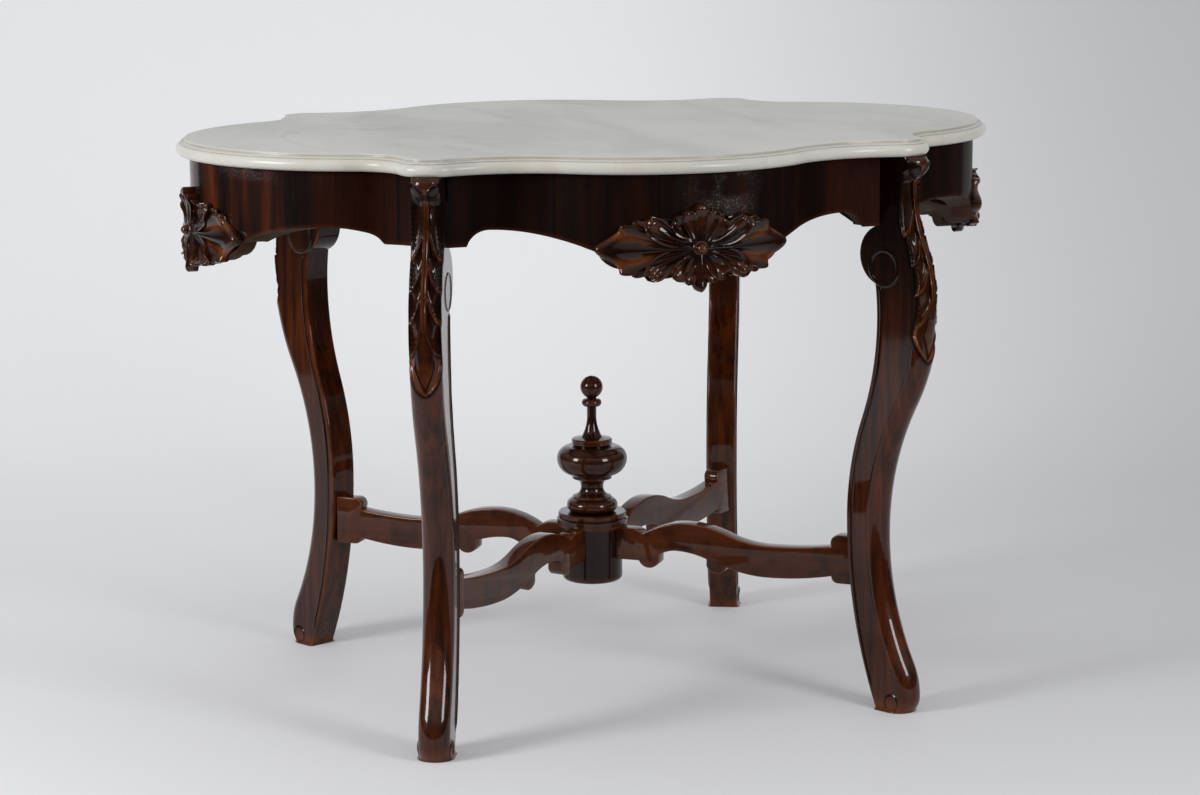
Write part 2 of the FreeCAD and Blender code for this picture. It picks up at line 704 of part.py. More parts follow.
def make_finial():
    """Base, bead, neck, bulb, disc, stem, collar and ball, one above another."""
    seat = size("hub_high")
    bead = seat + size("plate_height")
    neck = bead + size("torus_height")
    bulb = neck + size("cove_height")
    disc = bulb + size("bulb_height")
    stem = disc + size("disc_height")
    collar = stem + size("stem_height")
    ball = collar + size("collar_height")
    waist, shank, spigot, zero = size("waist_radius"), size("stem_radius"), size("spigot_radius"), as_size(0)
    plate, flare = size("plate_radius"), size("stem_foot_radius")
    foot = seat - size("spigot_length")
    equator = ball + size("ball_rise")
    corners = [(zero, foot), (spigot, foot), (spigot, seat), (plate, seat), (plate, bead), (waist, bead),
               (size("torus_radius"), (bead + neck) / 2), (waist, neck),
               (size("cove_radius"), (neck + bulb) / 2), (waist, bulb),
               (size("bulb_radius"), bulb + size("bulb_widest")), (waist, disc), (waist, stem),
               (flare, stem), (shank, stem + size("stem_foot_height")), (shank, collar),
               (size("collar_radius"), (collar + ball) / 2), (shank, ball), (size("ball_radius"), equator),
               (zero, equator + size("ball_radius"))]
    swell, straight = ["upright_end", "upright_start"], ["line"]
    stem_bends = straight * 2 + ["upright_end"] + straight
    return turned("finial", corners, straight * 5 + swell * 3 + stem_bends + swell * 2 + straight)


# Blocks and fasteners

def make_block(name, signs):
    depth, width, height = size("block_depth"), size("block_width"), size("block_height")
    block = doc.addObject("Part::Box", f"{name}_blank")
    bind(block, "Length", depth)
    bind(block, "Width", width)
    bind(block, "Height", height)
    corner = FreeCAD.Vector(-(size("post_back") + depth).value, -width.value / 2,
                            (underside - size("block_drop") - height).value)
    block.Placement = facing(*leg_frame(signs)).multiply(FreeCAD.Placement(corner, FreeCAD.Rotation()))
    return block


def dowel_pair(name, middle, spread, direction, before, after):
    """Two dowels one above the other through a joint, and the bores that they fill."""
    radius, room = size("dowel_radius"), size("bore_clearance")
    dowels, bores = [], []
    for number, share in enumerate(EITHER_SIDE, start=1):
        place = middle + UP * (spread.value * share) - direction * before.value
        dowels.append(rod(f"{name}_{number}", radius, before + after, place, direction))
        bores.append(rod(f"{name}_bore_{number}", radius + room, before + after + room * 2,
                         place - direction * room.value, direction))
    return dowels, bores


def apron_joints(name, signs):
    """Dowels from one leg into the long apron and the end apron beside it."""
    place, outward = leg_frame(signs)
    half = size("leg_thickness").value / 2
    height = (underside - size("dowel_drop") - size("dowel_spread") / 2).value
    along = FreeCAD.Vector(-outward.y * signs[0] * signs[1], outward.x * signs[0] * signs[1], 0)
    joints = []
    for way, back, kind in ((along, "dowel_front_back", "long"), (-along, "dowel_end_back", "end")):
        middle = place - outward * size(back).value + way * half + UP * height
        joints.append(dowel_pair(f"{name}_{kind}", middle, size("dowel_spread"), way,
                                 size("dowel_in_leg"), size("dowel_in_apron")))
    return joints


def stretcher_joints(name, signs):
    """Dowels from one board into its leg and into the hub."""
    back = leg_back(signs)
    way = FreeCAD.Vector(back).normalize()
    height = UP * ((size("arm_low") + size("arm_high")) / 2).value
    at_leg = dowel_pair(f"{name}_leg", back + height, size("dowel_spread"), way,
                        size("dowel_in_arm"), size("dowel_in_leg"))
    rim = way * size("hub_radius").value
    at_hub = dowel_pair(f"{name}_hub", rim + height, size("hub_dowel_spread"), way,
                        size("dowel_in_leg"), size("dowel_in_arm"))
    return at_leg, at_hub


def block_screws(name, signs, room):
    """Two screws from a corner block into the post, or with some room the bores that hold them."""
    place, outward = leg_frame(signs)
    start = place - outward * (size("post_back") + size("block_depth")).value
    height = (underside - size("block_drop") - size("block_height") / 2).value
    length = size("block_depth") + size("screw_bite") + room
    screws = []
    for number, share in enumerate(EITHER_SIDE, start=1):
        head_place = start + UP * (height + size("screw_spread").value * share)
        head = rod(f"{name}_head_{number}", size("screw_head") + room, size("screw_head_height") + room,
                   head_place, outward)
        shank = rod(f"{name}_shank_{number}", size("screw_radius") + room, length, head_place, outward)
        screws.append(boolean("Fuse", f"{name}_{number}", head, shank))
    return screws


# Assembly

def make_table():
    pieces, outside = make_aprons()
    pieces["marble_top"] = make_slab()
    hub = make_hub()
    pieces["finial"] = make_finial()
    apron_dowels, stretcher_dowels, screws, hub_bores = [], [], [], []
    end_bores = {side: [] for side in SIDES}
    for corner, signs in CORNERS.items():
        long_side, end_side = corner.split("_")
        long_joint, end_joint = apron_joints(f"apron_dowel_{corner}", signs)
        leg_joint, hub_joint = stretcher_joints(f"arm_dowel_{corner}", signs)
        screw_bores = block_screws(f"screw_bore_{corner}", signs, size("bore_clearance"))
        apron_dowels += long_joint[0] + end_joint[0]
        stretcher_dowels += leg_joint[0] + hub_joint[0]
        screws += block_screws(f"corner_screw_{corner}", signs, as_size(0))
        end_bores[long_side] += long_joint[1]
        end_bores[end_side] += end_joint[1]
        hub_bores += hub_joint[1]
        leg_blank = make_leg(f"leg_{corner}", signs)
        leg_holes = long_joint[1] + end_joint[1] + leg_joint[1] + screw_bores
        leg_bores = group(f"leg_bores_{corner}", leg_holes)
        pieces[f"leg_{corner}"] = cut(f"leg_{corner}_bored", leg_blank, leg_bores)
        arm_bores = group(f"arm_bores_{corner}", leg_joint[1] + hub_joint[1])
        arm_blank = make_arm(f"arm_{corner}", signs)
        pieces[f"stretcher_arm_{corner}"] = cut(f"arm_{corner}_fitted", arm_blank, leg_blank, hub,
                                                pieces["finial"], arm_bores)
        block_blank = make_block(f"block_{corner}", signs)
        block_bores = group(f"block_bores_{corner}", screw_bores)
        pieces[f"corner_block_{corner}"] = cut(f"block_{corner}_fitted", block_blank, outside[long_side],
                                               outside[end_side], block_bores)
    for side, bores in end_bores.items():
        blank = pieces[f"apron_{side}"]
        pieces[f"apron_{side}"] = cut(f"apron_{side}_bored", blank, group(f"bores_{side}", bores))
    pieces["stretcher_hub"] = cut("hub_bored", hub, group("hub_bores", hub_bores))
    pieces["apron_dowels"] = group("apron_dowel_set", apron_dowels)
    pieces["stretcher_dowels"] = group("stretcher_dowel_set", stretcher_dowels)
    pieces["corner_screws"] = group("corner_screw_set", screws)
    return pieces


def check(pieces):
    """Stop where an object failed, or where a piece has no sound solid."""
    for item in doc.Objects:
        if "Invalid" in item.State or "Error" in item.State:
            raise RuntimeError(f"{item.Name} failed: {item.State}")
    for name, piece in pieces.items():
        if piece.Shape.isNull() or not piece.Shape.isValid() or not piece.Shape.Solids:
            raise RuntimeError(f"{name} has no sound solid")


def main():
    pieces = make_table()
    doc.recompute()
    check(pieces)
    os.makedirs("parts", exist_ok=True)
    for name, piece in pieces.items():
        piece.Label = name
        piece.Shape.exportStep(f"parts/{name}.step")
        print(name, len(piece.Shape.Solids), round(piece.Shape.Volume))


main()
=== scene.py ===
"""Serpentine marble-topped table: its carved, polished and moulded surfaces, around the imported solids.

Metres, in the part's own frame: X along the length, the front to -Y, Z up, the origin on the floor.
"""

import math

import bpy
import numpy as np
from bpy.props import FloatProperty, FloatVectorProperty, PointerProperty
from mathutils import Matrix, Vector


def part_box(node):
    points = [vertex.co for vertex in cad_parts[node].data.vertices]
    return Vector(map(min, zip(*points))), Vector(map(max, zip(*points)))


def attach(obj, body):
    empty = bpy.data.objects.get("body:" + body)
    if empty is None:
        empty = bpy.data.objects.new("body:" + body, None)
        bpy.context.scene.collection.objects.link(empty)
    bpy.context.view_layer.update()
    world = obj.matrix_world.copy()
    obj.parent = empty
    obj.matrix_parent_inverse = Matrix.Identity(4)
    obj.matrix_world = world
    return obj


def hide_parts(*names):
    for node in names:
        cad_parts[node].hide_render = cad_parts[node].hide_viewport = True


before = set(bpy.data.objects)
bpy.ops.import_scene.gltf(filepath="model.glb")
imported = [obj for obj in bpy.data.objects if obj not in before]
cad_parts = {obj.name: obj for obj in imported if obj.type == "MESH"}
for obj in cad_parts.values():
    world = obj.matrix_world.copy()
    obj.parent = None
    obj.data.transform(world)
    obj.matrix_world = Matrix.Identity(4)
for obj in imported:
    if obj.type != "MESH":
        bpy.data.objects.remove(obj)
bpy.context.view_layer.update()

bl_info = {
    "name": "Serpentine Marble Table",
    "version": (1, 0, 0),
    "blender": (4, 5, 0),
    "location": "3D View > Sidebar > Table",
    "description": "Builds a carved parlour table with a loose marble slab",
    "category": "Object",
}

MM = 0.001
CORNERS = {"front_left": (-1, -1), "front_right": (1, -1), "rear_left": (-1, 1), "rear_right": (1, 1)}
SIDES = {"front": 0, "right": 90, "rear": 180, "left": 270}
SLAB_LOW, SLAB_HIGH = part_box("marble_top")
UNDERSIDE = SLAB_LOW.z


# Properties

def length(name, description, millimetres):
    return FloatProperty(name=name, description=description, default=millimetres * MM, unit="LENGTH",
                         precision=4)


def angle(name, description, degrees):
    return FloatProperty(name=name, description=description, default=math.radians(degrees), subtype="ANGLE")


def colour(name, description, rgb):
    return FloatVectorProperty(name=name, description=description, default=rgb, size=3, subtype="COLOR",
                               min=0.0, max=1.0)


def amount(name, description, value):
    return FloatProperty(name=name, description=description, default=value, min=0.0)


class TablePlan(bpy.types.PropertyGroup):
    """Plan outline that the slab and the aprons share."""
    end_lobe: length("End lobe", "Radius of the round ends", 250)
    front_lobe: length("Front lobe", "Radius of the round front and back", 250)
    ear_across: length("Ear across", "Middle to an ear's centre, along the length", 305)
    ear_forward: length("Ear forward", "Middle to an ear's centre, along the depth", 291)
    ear: length("Ear", "Radius of the small lobe over each leg", 42)
    notch: length("Notch", "Radius of the hollow between an ear and the end", 60)
    hollow: length("Hollow", "Radius of the hollow between an ear and the front", 150)


class TableSlab(bpy.types.PropertyGroup):
    """Moulded edge of the marble."""
    cove: length("Cove", "Depth of the small hollow under the top face", 4.6)
    nose_inset: length("Nose inset", "Slab's edge in to the arris over the nose", 6.4)
    top_inset: length("Top inset", "Slab's edge in to the rim of the top face", 11)
    nose_drop: length("Nose drop", "Top face down to the widest of the nose", 13)


class TableApron(bpy.types.PropertyGroup):
    """Curved aprons with their veneer."""
    inset: length("Inset", "Slab's edge to the apron's face", 17)
    ear: length("Ear", "Turn of the apron's face inside a leg", 5)
    veneer: length("Veneer", "Thickness of the face veneer", 2)
    core: length("Core", "Thickness of the core", 26)
    drop_leg: length("Drop at a leg", "Depth beside a leg", 90)
    drop_arch: length("Drop at the arch", "Depth at the top of the arch", 70)
    drop_middle: length("Drop in the middle", "Depth behind the carving", 95)
    front_arch: length("Front arch", "Ear's centre in to the top of the arch, long sides", 73)
    front_flat: length("Front flat", "Ear's centre in to the start of the arch, long sides", 45)
    end_arch: length("End arch", "Ear's centre in to the top of the arch, ends", 86)
    end_flat: length("End flat", "Ear's centre in to the start of the arch, ends", 61)
    panel: length("Veneer leaf", "Width of one leaf of veneer", 128)


class TableCarving(bpy.types.PropertyGroup):
    """Applied cartouches."""
    half_width: length("Half width", "Middle to the tip", 118)
    centre_drop: length("Centre drop", "Underside of the slab to the boss", 90)
    petal: length("Petal", "Boss to the tips of the upright petals", 54)
    boss: length("Boss", "Radius of the boss", 7)
    relief: length("Relief", "Height of the boss in front of the apron", 19)
    block: length("Block", "Depth of the backing under the apron", 26)


class TableLeg(bpy.types.PropertyGroup):
    """Scroll legs."""
    turn: angle("Turn", "Leg's plane from the table's depth", 26)
    setback: length("Setback", "Ear's centre in to the heel line", 10)
    thickness: length("Thickness", "Leg across its flanks", 40)
    knee_reach: length("Knee reach", "Heel line out to the knee", 79)
    knee_height: length("Knee height", "Height of the knee", 535)
    shin_reach: length("Shin reach", "Heel line out to the hollow of the shin", 2)
    shin_height: length("Shin height", "Height of the hollow of the shin", 232)
    ankle_back: length("Ankle back", "Heel line in to the hollow of the back", 49)
    ankle_height: length("Ankle height", "Height of the hollow of the back", 250)
    volute: length("Volute", "Radius of the scroll behind the knee", 39)
    post_back: length("Post back", "Heel line in to the back of the post", 44)
    leaf_tip: length("Leaf tip", "Height of the tip of the knee's leaf", 459)
    leaf_relief: length("Leaf relief", "Height of the lobes of the knee's leaf", 5.6)


class TableStretcher(bpy.types.PropertyGroup):
    """Stretcher boards, hub and finial."""
    board: length("Board", "Thickness of a stretcher board", 22)
    low: length("Low", "Height of the boards' lower edge", 155)
    high: length("High", "Height of the boards' upper edge", 219)
    hub: length("Hub", "Radius of the hub", 40)
    hub_low: length("Hub low", "Height of the hub's underside", 132)
    hub_high: length("Hub high", "Height of the hub's top", 207)


class TableFinish(bpy.types.PropertyGroup):
    """Colours of the finishes."""
    marble: colour("Marble", "Ground of the marble", (0.73, 0.725, 0.69))
    marble_cloud: colour("Marble cloud", "Clouds in the marble", (0.585, 0.58, 0.55))
    marble_vein: colour("Marble vein", "Veins in the marble", (0.34, 0.335, 0.32))
    # Dirt with painted shade in the cove and the quirk of the moulding
    marble_dirt_and_shade: colour("Marble dirt", "Dirt in the cove of the moulding", (0.20, 0.185, 0.15))
    marble_edge: colour("Marble edge", "Warmer stone along the moulding", (0.60, 0.572, 0.485))
    wood_red: colour("Red wood", "Lit figure of the polished wood", (0.125, 0.0245, 0.0042))
    wood_dark: colour("Dark wood", "Dark figure of the polished wood", (0.0125, 0.0031, 0.0012))
    # Also painted shade: used for the cut share in the recesses and towards the slab
    wood_black: colour("Old polish", "Polish gathered in the cuts", (0.0026, 0.0013, 0.0009))
    # Also painted light: the lit colour on carved hollows, the leaf's beads and the legs' heads
    wood_rubbed_and_lit: colour("Rubbed wood", "Wood rubbed bare on the edges", (0.33, 0.080, 0.015))
    veneer_red: colour("Red veneer", "Lit figure of the veneer", (0.13, 0.0235, 0.0058))
    veneer_dark: colour("Dark veneer", "Ground of the veneer", (0.0046, 0.0017, 0.0011))
    # Pale flaking polish, also painted glints and a painted reflection
    crazed_polish_glint: colour("Crazed polish", "Flaking polish along the top of the veneer", (0.20, 0.175, 0.17))
    carcase: colour("Carcase", "Unpolished wood inside", (0.078, 0.037, 0.020))
    steel: colour("Steel", "Old screws", (0.22, 0.20, 0.18))
    rust: colour("Rust", "Rust on the screws", (0.09, 0.035, 0.016))
    floor: colour("Floor", "Pale floor and backdrop", (0.74, 0.745, 0.765))


class TableStage(bpy.types.PropertyGroup):
    """Camera, floor and light."""
    azimuth: angle("Azimuth", "Camera's turn about the table, from the front", -19.4)
    elevation: angle("Elevation", "Camera's height above the horizon", 10.3)
    roll: angle("Roll", "Camera's roll", -0.3)
    distance: length("Distance", "Camera to its target", 4310)
    target_across: length("Target across", "Target, to the camera's right of the middle", 11.2)
    target_height: length("Target height", "Height of the target", 378.4)
    lens: FloatProperty(name="Lens", description="Focal length for a 36 mm sensor", default=97.3)
    key: amount("Key", "Power of the soft box on the left, watts", 36.0)
    fill: amount("Fill", "Power of the soft box in front, watts", 25.0)
    ceiling: amount("Ceiling", "Strength of the light from above", 0.53)
    room: amount("Room", "Strength of the light from around", 0.05)
    glow: amount("Glow", "How far the backdrop is lifted for the camera and in reflections", 0.46)


GROUPS = {
    "table_plan": TablePlan,
    "table_slab": TableSlab,
    "table_apron": TableApron,
    "table_carving": TableCarving,
    "table_leg": TableLeg,
    "table_stretcher": TableStretcher,
    "table_finish": TableFinish,
    "table_stage": TableStage,
}


def settings(name):
    return getattr(bpy.context.scene, f"table_{name}")


# Materials

class Field:
    """A value that varies over a surface: a socket whose arithmetic adds Math nodes."""

    def __init__(self, paint, socket):
        self.paint = paint
        self.socket = socket

    def math(self, operation, first, second=0.0):
        return self.paint.node("ShaderNodeMath", {"operation": operation}, {0: first, 1: second})

    def __add__(self, other):
        return self.math("ADD", self, other)

    __radd__ = __add__

    def __sub__(self, other):
        return self.math("SUBTRACT", self, other)

    def __rsub__(self, other):
        return self.math("SUBTRACT", other, self)

    def __mul__(self, other):
        return self.math("MULTIPLY", self, other)

    __rmul__ = __mul__

    def __truediv__(self, other):
        return self.math("DIVIDE", self, other)

    def __abs__(self):
        return self.math("ABSOLUTE", self)

    def floor(self):
        return self.math("FLOOR", self)

    def clear(self, low, high):
        """0 below low, 1 above high, smooth between."""
        limits = {"Value": self, "From Min": low, "From Max": high}
        return self.paint.node("ShaderNodeMapRange", {"interpolation_type": "SMOOTHSTEP"}, limits)


class Paint:
    """A node material for one finish."""

    def __init__(self, name, world=None):
        self.material = world or bpy.data.materials.new(name)
        self.material.use_nodes = True
        self.tree = self.material.node_tree
        self.shader = self.tree.nodes["Background" if world else "Principled BSDF"]

    def node(self, kind, options=None, sockets=None, output=0):
        made = self.tree.nodes.new(kind)
        for name, value in (options or {}).items():
            setattr(made, name, value)
        for key, value in (sockets or {}).items():
            self.feed(made.inputs[key], value)
        return Field(self, made.outputs[output])

    def feed(self, socket, value):
        if isinstance(value, Field):
            self.tree.links.new(value.socket, socket)
        elif socket.type == "RGBA":
            socket.default_value = (*value, 1.0)
        else:
            socket.default_value = value

    def set(self, name, value):
        self.feed(self.shader.inputs[name], value)

    def attribute(self, name):
        return self.node("ShaderNodeAttribute", {"attribute_name": name}, output="Fac")

    def place(self, stretch=(1.0, 1.0, 1.0)):
        """Object coordinates, stretched."""
        spot = self.node("ShaderNodeTexCoord", output="Object")
        return self.node("ShaderNodeVectorMath", {"operation": "MULTIPLY"}, {0: spot, 1: stretch})

    def axis(self, name):
        """One object coordinate."""
        return self.node("ShaderNodeSeparateXYZ", None, {0: self.place()}, name)

    def ray(self, kind):
        """1 for rays of one kind, 0 for the rest."""
        return self.node("ShaderNodeLightPath", output=f"Is {kind} Ray")

    def noise(self, spot, scale, detail=3.0, distortion=0.0):
        values = {"Vector": spot, "Scale": scale, "Detail": detail, "Distortion": distortion}
        return self.node("ShaderNodeTexNoise", None, values)

    def blend(self, share, first, second):
        return self.node("ShaderNodeMix", {"data_type": "RGBA"}, {0: share, 6: first, 7: second}, 2)

    def bump(self, height, strength, distance):
        values = {"Height": height, "Strength": strength, "Distance": distance}
        self.set("Normal", self.node("ShaderNodeBump", None, values))


def dimmed(tone, share):
    return tuple(channel * share for channel in tone)


def marble_finish():
    """Grey-white stone: clouds, faint veins, a few specks and warmer stone along the moulding."""
    tone = settings("finish")
    paint = Paint("marble")
    spot = paint.place()
    clouds = paint.noise(paint.place((1.0, 0.45, 1.0)), scale=6.0, detail=6.0, distortion=0.9)
    wisps = paint.noise(paint.place((1.0, 0.6, 1.0)), scale=5.0, detail=5.0, distortion=1.1)
    veins = 1.0 - abs(wisps - 0.5).clear(0.002, 0.034)
    patches = paint.noise(spot, scale=2.3, detail=2.0).clear(0.46, 0.62)
    stone = paint.blend(clouds.clear(0.38, 0.66) * 0.75, tone.marble, tone.marble_cloud)
    stone = paint.blend(veins * patches * 0.28, stone, tone.marble_vein)
    specks = paint.noise(spot, scale=95.0, detail=2.0).clear(0.73, 0.79)
    stone = paint.blend(specks * 0.3, stone, tone.marble_vein)
    edge = paint.attribute("edge")
    stain = paint.noise(spot, scale=14.0, detail=3.0).clear(0.45, 0.75)
    stone = paint.blend(edge * (stain * 0.5 + 0.4), stone, tone.marble_edge)
    # Dirt with painted shade in the cove and under the bead
    dirt_and_shade = paint.attribute("dirt_and_shade") * (paint.noise(spot, scale=22.0, detail=3.0) * 0.45 + 0.22)
    stone = paint.blend(dirt_and_shade, stone, tone.marble_dirt_and_shade)
    paint.set("Base Color", stone)
    paint.set("Roughness", paint.noise(spot, scale=26.0, detail=4.0) * 0.22 + 0.32 - edge * 0.14)
    paint.set("Specular IOR Level", 0.42)
    grain = paint.noise(spot, scale=60.0, detail=4.0) + paint.noise(spot, scale=9.0) * 2.0
    paint.bump(grain, strength=0.12, distance=0.0012)
    return paint.material


def wood_colour(paint, along, red, dark, even, patchy):
    """Figure and pores drawn out along the grain: how much of the red shows all over, and in patches."""
    tone = settings("finish")
    across = [1.0, 1.0, 1.0]
    across[along] = 0.055
    spot = paint.place(across)
    figure = paint.noise(spot, scale=105.0, detail=4.0, distortion=0.25).clear(0.24, 0.76)
    blotch = paint.noise(paint.place(), scale=8.0, detail=3.0).clear(0.30, 0.72)
    pores = paint.noise(spot, scale=900.0, detail=2.0).clear(0.52, 0.64)
    wood = paint.blend(figure * (blotch * patchy + even), dark, red)
    return paint.blend(pores * 0.35, wood, tone.wood_black), pores


# Heights between which painted shade darkens the polished wood towards the slab, in metres
SHADE_FROM, SHADE_TO = 0.46, 0.66
# Unpolished wood against the colour of the carcase
END_GRAIN, SAWN_DARK = 0.8, 0.42


def polished_wood(name, along, even, patchy, gloss, painted_shade_top):
    """Dark polished wood: polish and painted shade in cuts, wear and painted light where rubbed, painted
    shade by the slab.
    """
    tone = settings("finish")
    paint = Paint(name)
    wood, pores = wood_colour(paint, along, tone.wood_red, tone.wood_dark, even, patchy)
    cut = paint.attribute("cut")
    rub_and_light = paint.attribute("rub_and_light")
    grime = paint.noise(paint.place(), scale=38.0, detail=4.0)
    raw = paint.attribute("raw")
    # Painted shade: the wood darkens towards the slab above it
    wood = paint.blend(paint.axis("Z").clear(SHADE_FROM, SHADE_TO) * painted_shade_top, wood, tone.wood_black)
    # Black in the cuts: old polish, and painted shade in the recesses
    wood = paint.blend(cut, wood, tone.wood_black)
    # Rubbed colour: wear on edges and feet, and painted light on carved hollows, the leaf's beads and the
    # legs' heads
    wear_and_light = rub_and_light * grime.clear(0.28, 0.56)
    wood = paint.blend(wear_and_light * 0.75, wood, tone.wood_rubbed_and_lit)
    wood = paint.blend(raw, wood, dimmed(tone.carcase, END_GRAIN))
    paint.set("Base Color", wood)
    paint.set("Roughness", grime * 0.16 + cut * 0.12 + wear_and_light * 0.16 + raw * 0.45 + gloss)
    paint.set("Specular IOR Level", 0.06)
    paint.set("Coat Weight", (1.0 - cut * 0.85 - wear_and_light * 0.2) * (1.0 - raw))
    paint.set("Coat Roughness", 0.045)
    paint.set("Coat IOR", 1.38)
    dents = paint.noise(paint.place(), scale=32.0, detail=2.0)
    paint.bump(dents * 1.6 + pores * 0.12, strength=0.14, distance=0.0011)
    return paint.material


# First joint of the veneer, as a share of one leaf
LEAF_SHIFT = 0.37


def veneer_finish():
    """Near-black veneer: upright figure, leaves that differ in tone, joints, cracks, and crazing with
    painted glints and a painted reflection.
    """
    tone = settings("finish")
    apron = settings("apron")
    paint = Paint("veneer")
    along = paint.attribute("along")
    height = paint.attribute("height")
    spot = paint.node("ShaderNodeCombineXYZ", None, {0: along, 1: height * 0.07})
    figure = paint.noise(spot, scale=34.0, detail=5.0, distortion=0.7).clear(0.34, 0.76)
    pores = paint.noise(spot, scale=560.0, detail=2.0).clear(0.52, 0.66)
    leaf = (along / apron.panel + LEAF_SHIFT).floor()
    leaf_tone = paint.node("ShaderNodeTexWhiteNoise", {"noise_dimensions": "1D"}, {"W": leaf})
    lean = paint.noise(spot, scale=3.1, detail=1.0) * 0.006
    joint = abs((along + lean) / apron.panel + LEAF_SHIFT - leaf - 0.5).clear(0.492, 0.497)
    strain = paint.node("ShaderNodeCombineXYZ", None, {0: along + lean, 1: height * 0.012})
    crack = 1.0 - abs(paint.noise(strain, scale=16.0, detail=1.0) - 0.5).clear(0.0006, 0.0022)
    crack = crack * paint.noise(paint.place(), scale=7.0, detail=1.0).clear(0.52, 0.56)
    tint = paint.attribute("tint")
    # Red share: partly the veneer's tone, partly painted light on the lit left end
    lit = figure * (leaf_tone * 0.36 + 0.15) * tint
    wood = paint.blend(lit, tone.veneer_dark, tone.veneer_red)
    for share in (pores * 0.35, joint * 0.8, crack * 0.7):
        wood = paint.blend(share, wood, tone.wood_black)
    wood = paint.blend(paint.attribute("rub_and_light") * 0.15, wood, tone.wood_rubbed_and_lit)
    craze = paint.noise(paint.place(), scale=240.0, detail=3.0)
    patchy = paint.noise(paint.place(), scale=12.0).clear(0.35, 0.65)
    # Pale flakes and bloom: flaking polish painted as glints and a reflection patch
    flakes = paint.noise(paint.place(), scale=420.0, detail=3.0).clear(0.56, 0.63)
    bloom = paint.attribute("bloom") * paint.noise(paint.place(), scale=30.0, detail=3.0).clear(0.36, 0.62)
    crust_and_glint = flakes * bloom
    wood = paint.blend(crust_and_glint * 0.55 + bloom * 0.12, wood, tone.crazed_polish_glint)
    paint.set("Base Color", wood)
    paint.set("Roughness", craze * 0.2 + patchy * 0.12 + 0.46)
    paint.set("Specular IOR Level", 0.05)
    paint.set("Coat Weight", (craze * 0.3 + patchy * 0.3 + 0.4) * (tint.clear(0.4, 2.0) * 0.8 + 0.2))
    paint.set("Coat Roughness", 0.10)
    paint.set("Coat IOR", 1.28)
    ripple = paint.noise(paint.place(), scale=24.0, detail=2.0) * 1.6
    relief = craze * 0.35 + ripple + crust_and_glint * 3.0 - joint * 1.6 - crack * 1.2
    paint.bump(relief, strength=0.2, distance=0.0011)
    return paint.material


def carcase_finish():
    """Unpolished secondary wood with saw marks."""
    tone = settings("finish")
    paint = Paint("carcase_wood")
    dark = dimmed(tone.carcase, SAWN_DARK)
    wood, pores = wood_colour(paint, 0, tone.carcase, dark, 0.5, 0.4)
    saw = paint.noise(paint.place((260.0, 260.0, 22.0)), scale=1.0, detail=2.0)
    paint.set("Base Color", wood)
    paint.set("Roughness", pores * 0.15 + 0.62)
    paint.set("Specular IOR Level", 0.12)
    paint.bump(saw, strength=0.35, distance=0.0008)
    return paint.material


def steel_finish():
    """Dull old steel with rust in the slots."""
    tone = settings("finish")
    paint = Paint("screw_steel")
    rust = paint.noise(paint.place(), scale=320.0, detail=4.0).clear(0.45, 0.65)
    paint.set("Base Color", paint.blend(rust, tone.steel, tone.rust))
    paint.set("Metallic", 0.85 - rust * 0.6)
    paint.set("Roughness", rust * 0.35 + 0.38)
    return paint.material


POLISHES = {
    "leg_wood": {"along": 2, "even": 0.42, "patchy": 0.45, "gloss": 0.17, "painted_shade_top": 0.88},
    "carved_wood": {"along": 0, "even": 0.34, "patchy": 0.50, "gloss": 0.14, "painted_shade_top": 0.68},
    "board_wood": {"along": 0, "even": 0.22, "patchy": 0.40, "gloss": 0.25, "painted_shade_top": 0.88},
    "turned_wood": {"along": 2, "even": 0.06, "patchy": 0.14, "gloss": 0.15, "painted_shade_top": 0.88},
}
OTHERS = {
    "marble": marble_finish,
    "veneer_wood": veneer_finish,
    "carcase_wood": carcase_finish,
    "screw_steel": steel_finish,
}
MADE = {}


def finish(name):
    """The material of one finish, made when it is first asked for."""
    if name not in MADE:
        MADE[name] = polished_wood(name, **POLISHES[name]) if name in POLISHES else OTHERS[name]()
    return MADE[name]


# Meshes

def loft(rings, round_rings=True, close_ends=True):
    """Points and faces of a skin through rings of equal count."""
    rings = np.asarray(rings, float)
    rows, count = rings.shape[:2]
    index = np.arange(rows * count).reshape(rows, count)
    here, there = index, np.roll(index, -1, axis=1)
    if not round_rings:
        here, there = index[:, :-1], index[:, 1:]
    quads = np.stack([here[:-1], there[:-1], there[1:], here[1:]], axis=-1).reshape(-1, 4)
    faces = quads.tolist()
    if close_ends:
        faces += [index[0, ::-1].tolist(), index[-1].tolist()]
    return rings.reshape(-1, 3), faces


def joined(skins):
    """Several skins as one."""
    points, faces, start = [], [], 0
    for skin_points, skin_faces in skins:
        points.append(skin_points)
        faces += [[corner + start for corner in face] for face in skin_faces]
        start += len(skin_points)
    return np.concatenate(points), faces


def level_ring(ring, height):
    """Plan points at one height."""
    return np.column_stack([ring, np.full(len(ring), height)])


def make_mesh(name, skin):
    points, faces = skin
    mesh = bpy.data.meshes.new(name)
    mesh.from_pydata(points.tolist(), [], faces)
    mesh.validate()
    mesh.shade_smooth()
    return mesh


def add_object(name, data):
    made = bpy.data.objects.new(name, data)
    bpy.context.scene.collection.objects.link(made)
    return made


def add_piece(name, node, material, skin, fields=None, place=None, crease=35.0, body="base"):
    """One object of the table from its points and faces, in place of a CAD node."""
    mesh = make_mesh(name, skin)
    mesh.set_sharp_from_angle(angle=math.radians(crease))
    for field, values in (fields or {}).items():
        store = mesh.attributes.new(field, "FLOAT", "POINT")
        store.data.foreach_set("value", np.asarray(values, np.float32).ravel())
    mesh.materials.append(finish(material))
    made = add_object(name, mesh)
    made.matrix_world = place or Matrix.Identity(4)
    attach(made, body)
    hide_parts(node)


